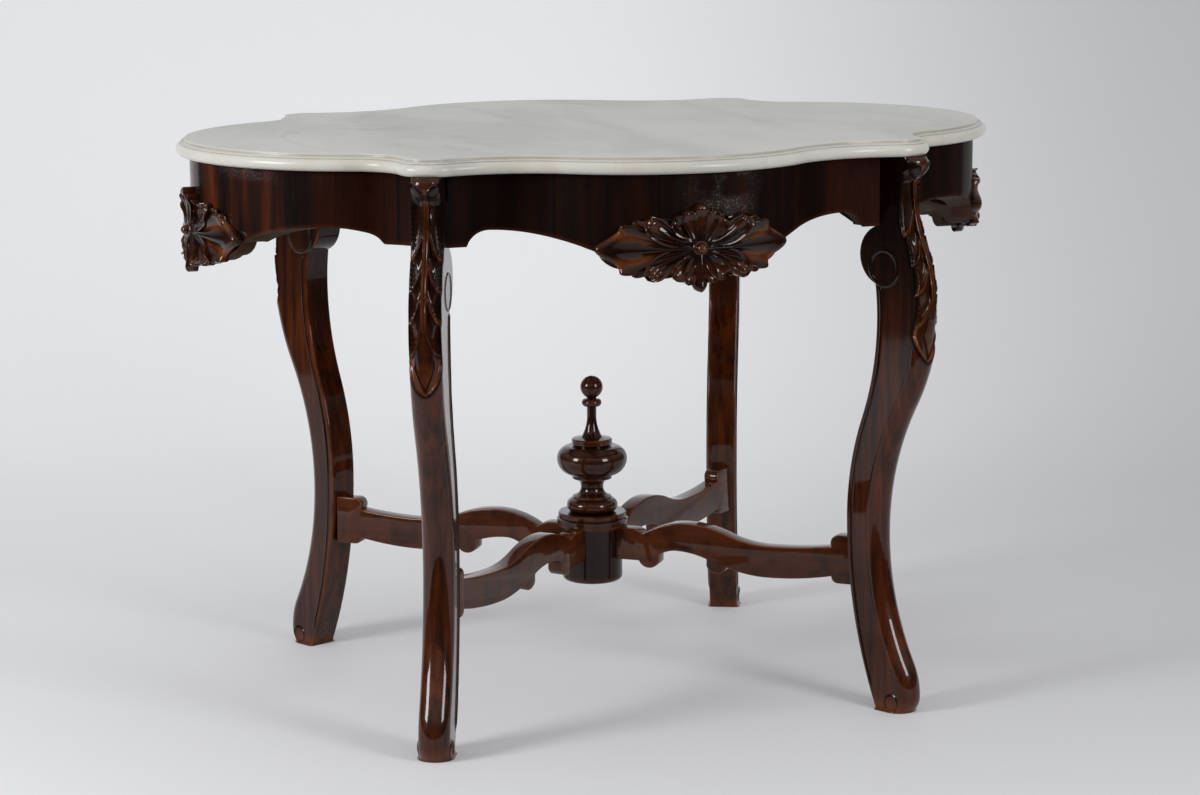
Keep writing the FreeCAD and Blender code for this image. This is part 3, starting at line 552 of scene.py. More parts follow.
def turned_about(degrees):
    return Matrix.Rotation(math.radians(degrees), 4, "Z")


def turned_to(way):
    return Matrix.Rotation(math.atan2(way[1], way[0]), 4, "Z")


def smooth(values, low, high):
    share = np.clip((values - low) / (high - low), 0.0, 1.0)
    return share * share * (3.0 - 2.0 * share)


def ridge(distance, width):
    return np.exp(-(distance / width) ** 2)


# Curves

ARC_STEPS = 14
LINE = "line "
SWAY = "upright_end upright_start "
WAVE = "level_start level_end "


def unit_ways(angles):
    return np.stack([np.cos(angles), np.sin(angles)], axis=1)


def arc_sweep(centre, start, end):
    """First angle of an arc about a centre, and how far it turns."""
    first, last = (math.atan2(*(point - centre)[::-1]) for point in (start, end))
    return first, (last - first + math.pi) % math.tau - math.pi


def square_arc(start, end, bend):
    """Points of an arc whose tangent at one end is upright or level, as the bend says, without its end."""
    start, end = np.asarray(start, float), np.asarray(end, float)
    tangent, where = bend.split("_")
    square, other = (start, end) if where == "start" else (end, start)
    chord = other - square
    axis = 0 if tangent == "upright" else 1
    centre = square.copy()
    centre[axis] += chord @ chord / (2.0 * chord[axis])
    first, sweep = arc_sweep(centre, start, end)
    angles = first + sweep * np.arange(ARC_STEPS) / ARC_STEPS
    return centre + np.linalg.norm(square - centre) * unit_ways(angles)


def bent_line(corners, bends):
    """Points in metres along corners in millimetres, joined by the lines and arcs that the bends name."""
    runs = []
    for start, end, bend in zip(corners, corners[1:], bends.split()):
        runs.append(np.array([start], float) if bend == "line" else square_arc(start, end, bend))
    runs.append(np.array([corners[-1]], float))
    return np.concatenate(runs) * MM


def path_marks(points):
    """Distance along a path to each of its points."""
    return np.concatenate([[0.0], np.cumsum(np.linalg.norm(np.diff(points, axis=0), axis=1))])


def part_way(start, end, share):
    return tuple(a + (b - a) * share for a, b in zip(start, end))


def circle_meeting(first, first_radius, second, second_radius):
    """Where two circles cross, on the right-hand side going from the first centre to the second."""
    chord = second - first
    span = np.linalg.norm(chord)
    along = (first_radius ** 2 - second_radius ** 2 + span ** 2) / (2 * span)
    aside = math.sqrt(first_radius ** 2 - along ** 2)
    way = chord / span
    return first + way * along + np.array([way[1], -way[0]]) * aside


def plan_outline(inset, ear_radius, step):
    """Closed plan outline of tangent arcs: points and outward ways, from the middle of the right end."""
    plan = settings("plan")
    end = np.array([SLAB_HIGH.x - plan.end_lobe, 0.0])
    front = np.array([0.0, SLAB_HIGH.y - plan.front_lobe])
    ear = np.array([plan.ear_across, plan.ear_forward])
    end_radius, front_radius = plan.end_lobe - inset, plan.front_lobe - inset
    notch_radius, hollow_radius = plan.notch + inset, plan.hollow + inset
    notch = circle_meeting(end, end_radius + notch_radius, ear, ear_radius + notch_radius)
    hollow = circle_meeting(ear, ear_radius + hollow_radius, front, front_radius + hollow_radius)

    def towards(centre, goal, radius):
        return centre + (goal - centre) / np.linalg.norm(goal - centre) * radius

    joints = [
        end + [end_radius, 0.0], towards(end, notch, end_radius), towards(ear, notch, ear_radius),
        towards(ear, hollow, ear_radius), towards(front, hollow, front_radius), front + [0.0, front_radius],
    ]
    arcs = [
        (end, end_radius, 1), (notch, notch_radius, -1), (ear, ear_radius, 1),
        (hollow, hollow_radius, -1), (front, front_radius, 1),
    ]
    points, ways = [], []
    for (centre, radius, bulge), start, stop in zip(arcs, joints, joints[1:]):
        first, sweep = arc_sweep(centre, start, stop)
        count = max(4, math.ceil(abs(sweep) * radius / step))
        way = unit_ways(first + sweep * np.arange(count) / count)
        points.append(centre + way * radius)
        ways.append(way * bulge)
    quarter = np.concatenate(points), np.concatenate(ways)
    top = np.array([[0.0, SLAB_HIGH.y - inset]]), np.array([[0.0, 1.0]])
    whole = []
    for values, last in zip(quarter, top):
        first = np.concatenate([values, last])
        second = first[-2::-1] * [-1, 1]
        half = np.concatenate([first, second])
        whole.append(np.concatenate([half, half[-2:0:-1] * [1, -1]]))
    return whole


# Slab

SLAB_STEP = 4 * MM
SLAB_CREASE = 40.0
# Rings of the top face and of the underside, as shares of the outline
FACE_SHARES = (0.02, 0.35, 0.7, 0.9, 0.97)
BASE_SHARES = (0.9, 0.4, 0.02)
# Small members of the moulding, in millimetres
LIP, BEAD, QUIRK, UNDERCUT = 0.5, 0.8, 1.3, 7.0
# Rows over which the warm stone sets in, and its share on the underside
EDGE_ROWS = 6
BASE_EDGE = 0.5


def slab_profile():
    """Moulded edge from the top face to the bottom: inset from the slab's edge, and drop."""
    slab = settings("slab")
    thickness = (SLAB_HIGH.z - SLAB_LOW.z) / MM
    sizes = (slab.top_inset, slab.nose_inset, slab.cove, slab.nose_drop)
    rim, arris, cove, nose = (size / MM for size in sizes)
    corners = [
        (rim + LIP, 0), (rim, LIP), (rim, LIP * 4),
        (arris + BEAD * 2, cove + LIP), (arris + BEAD, cove - LIP / 2), (arris - BEAD / 2, cove + LIP),
        (arris, cove + QUIRK), (arris - LIP, cove + QUIRK), (0, nose), (UNDERCUT, thickness),
    ]
    bends = "level_start line upright_start line level_start line line upright_end upright_start"
    return bent_line(corners, bends)


class TABLE_OT_slab(bpy.types.Operator):
    """Build the loose marble slab with its moulded edge"""
    bl_idname = "table.slab"
    bl_label = "Marble slab"

    def execute(self, context):
        profile = slab_profile()
        points, ways = plan_outline(0.0, settings("plan").ear, SLAB_STEP)
        rows = [(profile[0, 0], share, SLAB_HIGH.z, 0.0) for share in FACE_SHARES]
        for number, (inset, drop) in enumerate(profile):
            rows.append((inset, 1.0, SLAB_HIGH.z - drop, min(1.0, number / EDGE_ROWS)))
        rows += [(profile[-1, 0], share, SLAB_LOW.z, BASE_EDGE) for share in BASE_SHARES]
        rings = [level_ring((points - ways * inset) * share, height) for inset, share, height, _ in rows]
        drops = np.array([SLAB_HIGH.z - row[2] for row in rows])
        cove = settings("slab").cove
        # Dirt with painted shade: in the cove under the top face, and in the quirk under the bead
        dirt_and_shade = smooth(drops, MM, 2 * MM) * (1 - smooth(drops, cove - MM, cove))
        dirt_and_shade = np.maximum(dirt_and_shade, 0.8 * ridge(drops - cove - QUIRK * MM, 0.35 * MM))
        edges = [row[3] for row in rows]
        fields = {"edge": np.repeat(edges, len(points)), "dirt_and_shade": np.repeat(dirt_and_shade, len(points))}
        add_piece("slab", "marble_top", "marble", loft(rings), fields, None, SLAB_CREASE, body="marble_top")
        return {"FINISHED"}


# Aprons

APRON_STEP = 3 * MM


def leg_frame(signs):
    """Heel point and outward direction of a leg, in plan."""
    plan, leg = settings("plan"), settings("leg")
    outward = np.array([signs[0] * math.sin(leg.turn), signs[1] * math.cos(leg.turn)])
    ear = np.array([signs[0] * plan.ear_across, signs[1] * plan.ear_forward])
    return ear - outward * leg.setback, outward


def lower_edge(kind):
    """Scalloped lower edge of an apron: distance from the middle, and height."""
    apron, plan = settings("apron"), settings("plan")
    ear = (plan.ear_across if kind == "front" else plan.ear_forward) / MM
    arch = ear - getattr(apron, f"{kind}_arch") / MM
    flat = ear - getattr(apron, f"{kind}_flat") / MM
    tip = settings("carving").half_width / MM
    low, crown, middle = (-value / MM for value in (apron.drop_leg, apron.drop_arch, apron.drop_middle))
    corners = [(0, middle), (tip, middle), (arch, crown), (flat, low), (ear, low)]
    return bent_line(corners, "line level_end level_start line") + [0.0, UNDERSIDE]


def apron_run(side, inset, count):
    """Plan points of one side at an inset from the apron's face, evenly from leg to leg, and the run."""
    apron = settings("apron")
    points, ways = plan_outline(apron.inset, apron.ear, APRON_STEP)
    spin = math.radians(-SIDES[side])
    turn = np.array([[math.cos(spin), math.sin(spin)], [-math.sin(spin), math.cos(spin)]])
    points = (points - ways * inset) @ turn
    half_way = settings("leg").thickness / 2
    limits = []
    for corner, signs in CORNERS.items():
        if side in corner:
            place, outward = leg_frame(signs)
            limits.append((place @ turn, outward @ turn))
    limits.sort(key=lambda limit: limit[0][0])
    ends = [(place, hand * np.array([-way[1], way[0]])) for (place, way), hand in zip(limits, (1, -1))]
    inside = points[:, 1] < 0
    for place, aside in ends:
        inside &= (points - place) @ aside > half_way
    kept = points[inside]
    kept = kept[np.argsort(kept[:, 0])]
    stops = []
    for (place, aside), near, following in zip(ends, (kept[0], kept[-1]), (kept[1], kept[-2])):
        reach = ((near - place) @ aside - half_way) / ((following - near) @ aside)
        stops.append(near - (following - near) * reach)
    kept = np.vstack([stops[0], kept, stops[1]])
    steps = path_marks(kept)
    marks = np.linspace(0.0, steps[-1], count)
    run = np.column_stack([np.interp(marks, steps, kept[:, axis]) for axis in (0, 1)])
    return run, marks - steps[-1] / 2


# Partly painted light: the lit left end shows much more red
# How much red shows on each side before and after the change, and where along the side that lies
SIDE_TONES_AND_LIGHT = {"front": (0.45, 0.45), "right": (0.6, 0.6), "rear": (0.8, 0.8), "left": (2.4, 0.4)}
TONE_AND_LIGHT_CHANGE = (202 * MM, 212 * MM)
# Flaking polish on each side, painted pale as glints and a reflection patch: centre, half-width, drop and
# strength
BLOOMS_AND_GLINTS = {
    "front": (35 * MM, 34 * MM, 95 * MM, 1.3),
    "right": (60 * MM, 50 * MM, 12 * MM, 0.6),
    "rear": (-90 * MM, 70 * MM, 14 * MM, 0.6),
    "left": (145 * MM, 62 * MM, 20 * MM, 0.8),
}
RUN_COUNT = 241
WALL_ROWS = 15
EDGE_SOFT = 0.8 * MM
FACE_WEAR, BACK_WEAR = 0.6, 0.3


def apron_wall(side, near, far):
    """Closed wall of one side between two insets, with the scalloped lower edge softened."""
    kind = "front" if SIDES[side] % 180 == 0 else "end"
    edge = lower_edge(kind)
    skins = {}
    for inset in (near, near + EDGE_SOFT, far - EDGE_SOFT, far):
        run, marks = apron_run(side, inset, RUN_COUNT)
        skins[inset] = run, marks, np.interp(np.abs(run[:, 0]), edge[:, 0], edge[:, 1])
    rings, along, height, rub_and_light = [], [], [], []

    def add_ring(inset, level, worn_and_lit):
        """A ring at a share of the height, or just above the lower edge for a level of -1."""
        run, marks, low = skins[inset]
        heights = low + (UNDERSIDE - low) * level if level >= 0 else low - level * EDGE_SOFT
        rings.append(np.column_stack([run, heights]))
        along.append(marks)
        height.append(heights)
        rub_and_light.append(np.full(len(marks), worn_and_lit))

    levels = np.linspace(0.0, 1.0, WALL_ROWS)
    for level in levels[::-1][:-1]:
        add_ring(near, level, 0.0)
    add_ring(near, -1.0, FACE_WEAR)
    add_ring(near + EDGE_SOFT, 0.0, FACE_WEAR)
    add_ring(far - EDGE_SOFT, 0.0, BACK_WEAR)
    add_ring(far, -1.0, BACK_WEAR)
    for level in levels[1:]:
        add_ring(far, level, 0.0)
    rings = np.array(rings).transpose(1, 0, 2)
    fields = {"along": np.array(along).T, "height": np.array(height).T, "rub_and_light": np.array(rub_and_light).T}
    first, last = SIDE_TONES_AND_LIGHT[side]
    fields["tint"] = first + (last - first) * smooth(fields["along"], *TONE_AND_LIGHT_CHANGE)
    centre, half, drop, strength = BLOOMS_AND_GLINTS[side]
    depth = UNDERSIDE - fields["height"]
    fields["bloom"] = strength * ridge(fields["along"] - centre, half) * (1 - smooth(depth, drop / 3, drop))
    return loft(rings), fields


class TABLE_OT_aprons(bpy.types.Operator):
    """Build the curved aprons and their face veneers"""
    bl_idname = "table.aprons"
    bl_label = "Aprons"

    def execute(self, context):
        apron = settings("apron")
        for side, degrees in SIDES.items():
            place = turned_about(degrees)
            skin, fields = apron_wall(side, 0.0, apron.veneer)
            add_piece(f"face_veneer_{side}", f"veneer_{side}", "veneer_wood", skin, fields, place)
            skin, fields = apron_wall(side, apron.veneer, apron.veneer + apron.core)
            add_piece(f"apron_core_{side}", f"apron_{side}", "carcase_wood", skin, None, place)
        return {"FINISHED"}


# Carvings

PETAL_GRID = (34, 23)
PETAL_WIDEST = 0.66
PETAL_ROUND = 1.6
FAN_GRID = (46, 71)
FAN_SPREAD = math.radians(21.5)
FAN_FLUTES = 2.0
FAN_START = 5.0
DOME_GRID = (15, 33)
CARVING_CREASE = 50.0


def grid(counts, low, high):
    """Shares from 0 to 1 down a column, and from low to high along a row."""
    return np.linspace(0.0, 1.0, counts[0])[:, None], np.linspace(low, high, counts[1])[None, :]


class Relief:
    """A carving in the making: petals in millimetres about the boss, to be bent on the apron's curve."""

    def __init__(self):
        self.skins = []
        self.fields = {"cut": [], "rub_and_light": [], "raw": []}

    def keep(self, skin, cut, rub_and_light, raw):
        """One skin with its cut, rubbed-and-lit and raw shares."""
        self.skins.append(skin)
        for name, share in (("cut", cut), ("rub_and_light", rub_and_light), ("raw", raw)):
            self.fields[name].append(np.broadcast_to(share, len(skin[0])))

    def add(self, across, up, out, cut, rub_and_light):
        """One sheet with a skirt that drops behind it."""
        def skirted(values, edge=None):
            rim = np.pad(values, 1, mode="edge")
            if edge is not None:
                rim[[0, -1], :] = edge
                rim[:, [0, -1]] = edge
            return rim

        sheet = np.stack([skirted(across), skirted(up), skirted(out, -1.0)], axis=-1)
        cut, rub_and_light = (np.clip(skirted(*share), 0, 1).ravel() for share in ((cut, 1.0), (rub_and_light, 0.0)))
        self.keep(loft(sheet, False, False), cut, rub_and_light, 0.0)

    def petal(self, root, tip, bend, width, root_share, low, high, cup, curl, flutes=0, flute=0.0):
        """Leaf on a curved spine: half-width, heights at root and tip, hollow, curled tip and flutes."""
        t, v = grid(PETAL_GRID, -1.0, 1.0)
        root, tip = np.array(root, float), np.array(tip, float)
        chord = tip - root
        side = np.array([-chord[1], chord[0]])
        middle = (root + tip) / 2 + side * bend
        spine = [(1 - t) ** 2 * root[k] + 2 * t * (1 - t) * middle[k] + t ** 2 * tip[k] for k in (0, 1)]
        slope = [2 * (1 - t) * (middle[k] - root[k]) + 2 * t * (tip[k] - middle[k]) for k in (0, 1)]
        pace = np.hypot(*slope)
        swell = root_share + (1 - root_share) * smooth(t, 0.0, PETAL_WIDEST)
        nose = np.sqrt(np.clip(1 - (np.clip(t - PETAL_WIDEST, 0, 1) / (1 - PETAL_WIDEST)) ** 2, 0.0, 1))
        half = width * np.where(t < PETAL_WIDEST, swell, nose) + 0.02
        across = spine[0] - slope[1] / pace * half * v
        up = spine[1] + slope[0] / pace * half * v
        rise = low + (high - low) * t ** 1.4
        hollow = cup * (v ** 2 - 0.55) * smooth(t, 0.05, 0.5)
        wave = flute * np.cos(math.pi * flutes * v) * smooth(t, 0.02, 0.3) * (1 - smooth(t, 0.9, 1.0) * 0.6)
        roll = curl * (ridge(t - 0.86, 0.10) - 0.5 * smooth(t, 0.9, 1.0))
        rim = np.maximum(np.abs(v), t ** 8)
        out = rise + hollow + wave + roll - PETAL_ROUND * smooth(rim, 0.8, 1.0)
        # Dark at the root and along the flute bottoms: polish with painted shade. Wear on the rim, painted
        # light in the cup's hollow.
        deep = 0.8 * (1 - t) ** 1.8 + 0.4 * np.clip(-wave / (flute + 0.01), 0, 1) ** 3 * (flute > 0)
        worn_and_lit = 0.25 * smooth(rim, 0.7, 0.95) + 0.4 * np.clip(-hollow / (abs(cup) + 0.01), 0, 1) * (cup > 0)
        self.add(across, up, out, deep, worn_and_lit * t)

    def fan(self, hand):
        """Broad side leaf with flutes that spread from the boss to a scalloped rim."""
        t, v = grid(FAN_GRID, -1.0, 1.0)
        body_reach, point, scallop, trim = 95.0, 24.0, 5.0, 16.0
        reach = body_reach + point * ridge(v - 0.02, 0.40) + scallop * ridge(np.abs(v) - 0.84, 0.16)
        radius = FAN_START + (reach - trim * v ** 8 - FAN_START) * t
        spread = FAN_SPREAD * v * (0.62 + 0.38 * t)
        across = hand * radius * np.cos(spread)
        up = radius * np.sin(spread) - 1.0 + 3.5 * t * (1 - t) * np.sign(v) * np.abs(v) ** 2
        wave = np.cos(math.pi * FAN_FLUTES * (v + 1))
        depth = 2.7 * smooth(t, 0.02, 0.35)
        body = 9.5 - 3.2 * t + 3.4 * t ** 3
        lip = 1.8 * ridge(t - 0.93, 0.06)
        rim = np.maximum(np.abs(v) ** 3, t ** 14)
        out = body + depth * wave + lip - 2.0 * smooth(rim, 0.75, 1.0) - 2.2 * np.abs(v) ** 2
        # Dark near the boss and on the flutes' crests: painted shade. Painted light in the flutes' hollows,
        # wear on the rim.
        deep = 0.35 * np.clip(wave, 0, 1) * smooth(t, 0.0, 0.2) + 0.8 * (1 - t) ** 3
        worn_and_lit = 0.42 * np.clip(-wave, 0, 1) * smooth(t, 0.25, 0.7) + 0.15 * smooth(t, 0.88, 0.98)
        self.add(across, up, out, deep, worn_and_lit)

    def dome(self, centre, radius, base, top):
        """Round boss."""
        t, turn = grid(DOME_GRID, 0.0, math.tau)
        across = centre[0] + radius * np.sin(t * math.pi / 2) * np.cos(turn)
        up = centre[1] + radius * np.sin(t * math.pi / 2) * np.sin(turn)
        out = base + (top - base) * np.cos(t * math.pi / 2) + 0 * turn
        self.add(across, up, out, 0.9 * t ** 6 + 0 * turn, 0.5 * (1 - t) + 0 * turn)

    def board(self, outline, front, back, soft, raw=0.0):
        """Backing sawn to an outline."""
        ways = outline - outline.mean(axis=0)
        ways /= np.linalg.norm(ways, axis=1)[:, None]
        rows = ((soft * 3, front), (soft, front - soft * 0.4), (0.0, front - soft * 1.5), (0.0, back))
        rings = [level_ring(outline - ways * shrink, depth) for shrink, depth in rows]
        self.keep(loft(rings), 0.4 * (1 - raw), 0.0, raw)


def cartouche_outline(shrink):
    """Lobed outline of the backing, in millimetres about the boss."""
    carving = settings("carving")
    tip, petal = carving.half_width / MM, carving.petal / MM
    waist, crown, shoulder, half = 33.0, 41.0, (90.0, 30.0), 18.0
    middle = (half + shoulder[0]) / 2
    corners = [(0, petal), (half, waist), (middle, crown), shoulder, (tip, 0), (shoulder[0], -shoulder[1]),
               (middle, -crown), (half, -waist), (0, -petal)]
    right = bent_line(corners, WAVE + "level_start " + SWAY + "level_end " + WAVE) / MM
    left = right[-2:0:-1] * [-1, 1]
    return np.concatenate([right, left]) * shrink


def carve_cartouche():
    """Boss, upright petals, cups, curled leaves and side fans on a sawn backing."""
    carving, apron = settings("carving"), settings("apron")
    relief = Relief()
    petal, boss = carving.petal / MM, carving.boss / MM
    soft, backing, collar = 0.8, 3.2, 3.0
    relief.board(cartouche_outline(0.9), backing, -1.0, soft)
    outline = cartouche_outline(1.0) * [1.0, 0.84]
    edge = (carving.centre_drop - apron.drop_middle) / MM
    relief.board(outline[outline[:, 1] < edge], 1.0, -carving.block / MM, soft, 1.0)
    for hand in (-1, 1):
        relief.fan(hand)
        for rise in (-1, 1):
            turn = hand * rise
            relief.petal((hand * 9, rise * 5), (hand * 63, rise * 38), -0.22 * turn, width=13.5,
                         root_share=0.5, low=7.0, high=8.5, cup=4.6, curl=4.5, flutes=2, flute=1.3)
            relief.petal((hand * 30, rise * 15), (hand * 80, rise * 33), -0.16 * turn, width=8.0,
                         root_share=0.4, low=6.0, high=6.5, cup=2.6, curl=1.5)
            relief.petal((hand * 5, rise * 5), (hand * 34, rise * 36), 0.10 * turn, width=12.0,
                         root_share=0.45, low=8.0, high=10.5, cup=6.4, curl=2.0)
        relief.petal((hand * 2, 5), (hand * 16, petal - 7), -0.12 * hand, width=8.6,
                     root_share=0.45, low=9.0, high=14.0, cup=4.0, curl=2.5)
        relief.petal((hand * 2, -5), (hand * 15, 9 - petal), 0.12 * hand, width=8.0,
                     root_share=0.45, low=9.0, high=10.5, cup=3.2, curl=1.5)
    relief.petal((0, 5), (0, petal), 0.0, width=8.8,
                 root_share=0.45, low=9.5, high=16.0, cup=3.6, curl=2.5, flutes=1, flute=1.0)
    relief.petal((0, -5), (0, -petal), 0.0, width=9.6,
                 root_share=0.45, low=10.0, high=11.0, cup=-2.2, curl=1.0, flutes=1, flute=1.6)
    relief.dome((0, 0), boss + collar, 7.0, 12.5)
    relief.dome((0, 0), boss, 9.0, carving.relief / MM)
    return relief


class TABLE_OT_carvings(bpy.types.Operator):
    """Carve the four applied cartouches"""
    bl_idname = "table.carvings"
    bl_label = "Carvings"

    def execute(self, context):
        plan, apron, carving = settings("plan"), settings("apron"), settings("carving")
        relief = carve_cartouche()
        flat, faces = joined(relief.skins)
        fields = {name: np.concatenate(shares) for name, shares in relief.fields.items()}
        for side, degrees in SIDES.items():
            lobe, reach = (plan.end_lobe, SLAB_HIGH.x) if degrees % 180 else (plan.front_lobe, SLAB_HIGH.y)
            radius = lobe - apron.inset
            across, up, out = (flat * MM).T
            swing = np.arcsin(np.clip(across / radius, -1, 1))
            points = np.column_stack([(radius + out) * np.sin(swing),
                                      -(reach - lobe) - (radius + out) * np.cos(swing),
                                      UNDERSIDE - carving.centre_drop + up])
            add_piece(f"cartouche_{side}", f"carving_{side}", "carved_wood", (points, faces), fields,
                      turned_about(degrees), CARVING_CREASE)
        return {"FINISHED"}


# Legs

# Points of a ring, and its rounded corners, in millimetres like all the sizes of this section
BACK_COUNT, CORNER_COUNT, FLANK_COUNT, FRONT_COUNT = 9, 4, 52, 71
BACK_ROUND = 2.5
FRONT_SHARE = 0.94
LEG_CREASE = 60.0
# Corners of the side view: out from the heel line, and height
HEEL, NAPE, THROAT = (3.0, 0.0), (-2.0, 510.0), (-5.4, 556.0)
SOLE, TOE, NECK, SCROLL = (46.0, 0.0), (55.0, 20.0), (46.5, 681.0), (58.5, 711.0)
HEAD_REACH = 55.0
POST_FOOT = 630.0
VOLUTE_CENTRE = (8.0, 592.0)
# Round cuts on the flanks: centre, radius, depth and where they start
EYES = (((9.0, 577.0), 22.5, 1.3, 548.0), ((29.0, 12.0), 10.5, 1.7, 3.0))
LINE_DEPTH, LINE_HALF, EYE_HALF = 1.9, 1.35, 1.4
# Line beside the back: where it fades out, its heights and its insets there
LINE_FOOT, LINE_HEAD = (20, 40), (545, 553)
LINE_PLACE = ((0, 60, 250, 540), (5.0, 6.0, 8.5, 8.0))
# Leaf on the knee
LEAF_TOP, LEAF_HALF = 704.0, 30.0
LOBE_TIPS = (618.0, 582.0, 545.0, 503.0)
LOBE_FALL, LOBE_CURVE, LOBE_ROOT = 36.0, 2.3, 6.0
LEAF_TAPER = ((640.0, 690.0, LEAF_TOP), (1.0, 0.84, 0.78))
RIB_HALF = 3.5
RIB_PLACE, RIB_ROUND = 2.5, 1.2
RIB_FOOT, RIB_HEAD = (516, 534), (694, 702)
BUD_HALF, BUD_WIDEST, BUD_SHOULDER = 30.5, 494.0, 560.0
DIAMOND_HALF, DIAMOND_LONG = 14.0, 27.0
# Plain head over the leaf, with two slanting facets
HEAD_FROM, HEAD_TO, HEAD_HALF = 683.0, 698.0, 22.0
FACET_ASIDE, FACET_HEIGHT, FACET_LONG, FACET_WIDE = 12.0, 702.0, 17.0, 7.8
# Heights of the rings: start, end and step of the plain runs, and the carved run above them
SOLE_LEVELS = (0.0, 0.4, 1.0, 2.0, 3.2, 4.6, 6.0)
FOOT_RUN, SHIN_RUN = (7.5, 44.0, 1.4), (46.0, 448.0, 4.0)
CARVED_FROM, CARVED_STEP = 450.0, 0.9
SOLE_SOFT, SOLE_TUCK = 5.0, 3.2
# Wear, polish and painted shade: reach of the mean that cuts are measured from, full depth, worn corner and
# scuffed foot
CUT_REACH, CUT_DEPTH = 5, 0.9
CORNER_HALF = 2.2
SCUFFED = (4, 22)


def leg_curves(levels):
    """Back and front of a leg at each height, out from the heel line."""
    leg = settings("leg")
    knee = (leg.knee_reach / MM, leg.knee_height / MM)
    shin = (leg.shin_reach / MM, leg.shin_height / MM)
    ankle = (-leg.ankle_back / MM, leg.ankle_height / MM)
    back = [HEEL, ankle, part_way(ankle, NAPE, 0.5), NAPE, THROAT]
    front = [
        SOLE, TOE, part_way(shin, TOE, 0.8), shin, part_way(knee, shin, 0.45), knee,
        part_way(NECK, knee, 0.5), NECK, part_way(NECK, SCROLL, 0.6), SCROLL, (HEAD_REACH, UNDERSIDE / MM),
    ]
    curves = []
    for corners in (back, front):
        line = bent_line(corners, SWAY * (len(corners) // 2)) / MM
        curves.append(np.interp(levels, line[:, 1], line[:, 0]))
    middle, height = VOLUTE_CENTRE
    radius = leg.volute / MM
    scroll_back = middle - np.sqrt(np.clip(radius ** 2 - (levels - height) ** 2, 0, None))
    in_scroll = np.abs(levels - height) < radius
    curves[0] = np.where(in_scroll, np.minimum(curves[0], scroll_back), curves[0])
    curves[0] = np.where(levels > POST_FOOT, -leg.post_back / MM, curves[0])
    return curves


def leg_levels():
    """Heights of the rings: close together where the leg is carved."""
    top = UNDERSIDE / MM
    foot, shin = np.arange(*FOOT_RUN), np.arange(*SHIN_RUN)
    knee = np.arange(CARVED_FROM, POST_FOOT, CARVED_STEP)
    head = np.arange(POST_FOOT + 0.05, top - 0.6, CARVED_STEP)
    return np.concatenate([SOLE_LEVELS, foot, shin, knee, [POST_FOOT - 0.02], head, [top - 0.5, top]])


def leg_rings(levels):
    """Sawn and rounded sections of a leg: out from the heel line and across."""
    half = settings("leg").thickness / MM / 2
    back, front = (curve[:, None] for curve in leg_curves(levels))
    depth = half * FRONT_SHARE
    quarter = np.linspace(0.0, math.pi / 2, CORNER_COUNT + 2)[None, 1:-1]
    rise = np.linspace(0.0, 1.0, BACK_COUNT)[None, :]
    run = np.linspace(0.0, 1.0, FLANK_COUNT)[None, :]
    arc = np.linspace(-math.pi / 2, math.pi / 2, FRONT_COUNT)[None, 1:-1]
    flank_start, flank_end = back + BACK_ROUND, front - depth
    right_flank = flank_start + (flank_end - flank_start) * run
    spread = (half - BACK_ROUND) * (2 * rise - 1)
    corner_out = back + BACK_ROUND * (1 - np.cos(quarter))
    corner_across = half - BACK_ROUND + BACK_ROUND * np.sin(quarter)
    full = np.ones_like(back)
    side = half * np.ones_like(right_flank)
    out = [
        back + 0 * spread, corner_out, right_flank, flank_end + depth * np.cos(arc), right_flank[:, ::-1],
        corner_out[:, ::-1],
    ]
    across = [
        spread * full, corner_across * full, side, -half * np.sin(arc) * full, -side,
        -corner_across[:, ::-1] * full,
    ]
    return np.concatenate(out, axis=1), np.concatenate(across, axis=1)


def leaf_lobes(z, a, fall):
    """Lobes that overlap downwards: their height, the beads along their rims, and the leaf's half-width."""
    body, beads, reach = (np.zeros_like(a) for _ in range(3))
    rims = (LEAF_TOP + 30.0, *LOBE_TIPS)
    for upper, lower in zip(rims, rims[1:]):
        low, high = lower + fall, upper + fall
        over, under = z - low, np.maximum(high - z, 0)
        here = (over >= 0) & (z < high)
        bead = ridge(over - 3.6, 2.6)
        rise = np.clip((over - LOBE_ROOT) / (upper - lower - LOBE_ROOT), 0, 1)
        swell = np.sin(math.pi * rise ** 0.75)
        lobe = smooth(over, 0.0, 2.4) * 0.40 + bead * 0.40 + swell * 0.80
        body = np.where(here, lobe - 0.16 * (1 - smooth(under, 0.0, LOBE_ROOT)), body)
        beads = np.where(here, bead, beads)
        edge_place = np.clip((z - lower) / (upper - lower), 0, 1)
        at_edge = (z >= lower) & (z < upper)
        reach = np.where(at_edge, LEAF_HALF * (1.04 - 0.20 * edge_place ** 0.7), reach)
    return body, beads, reach


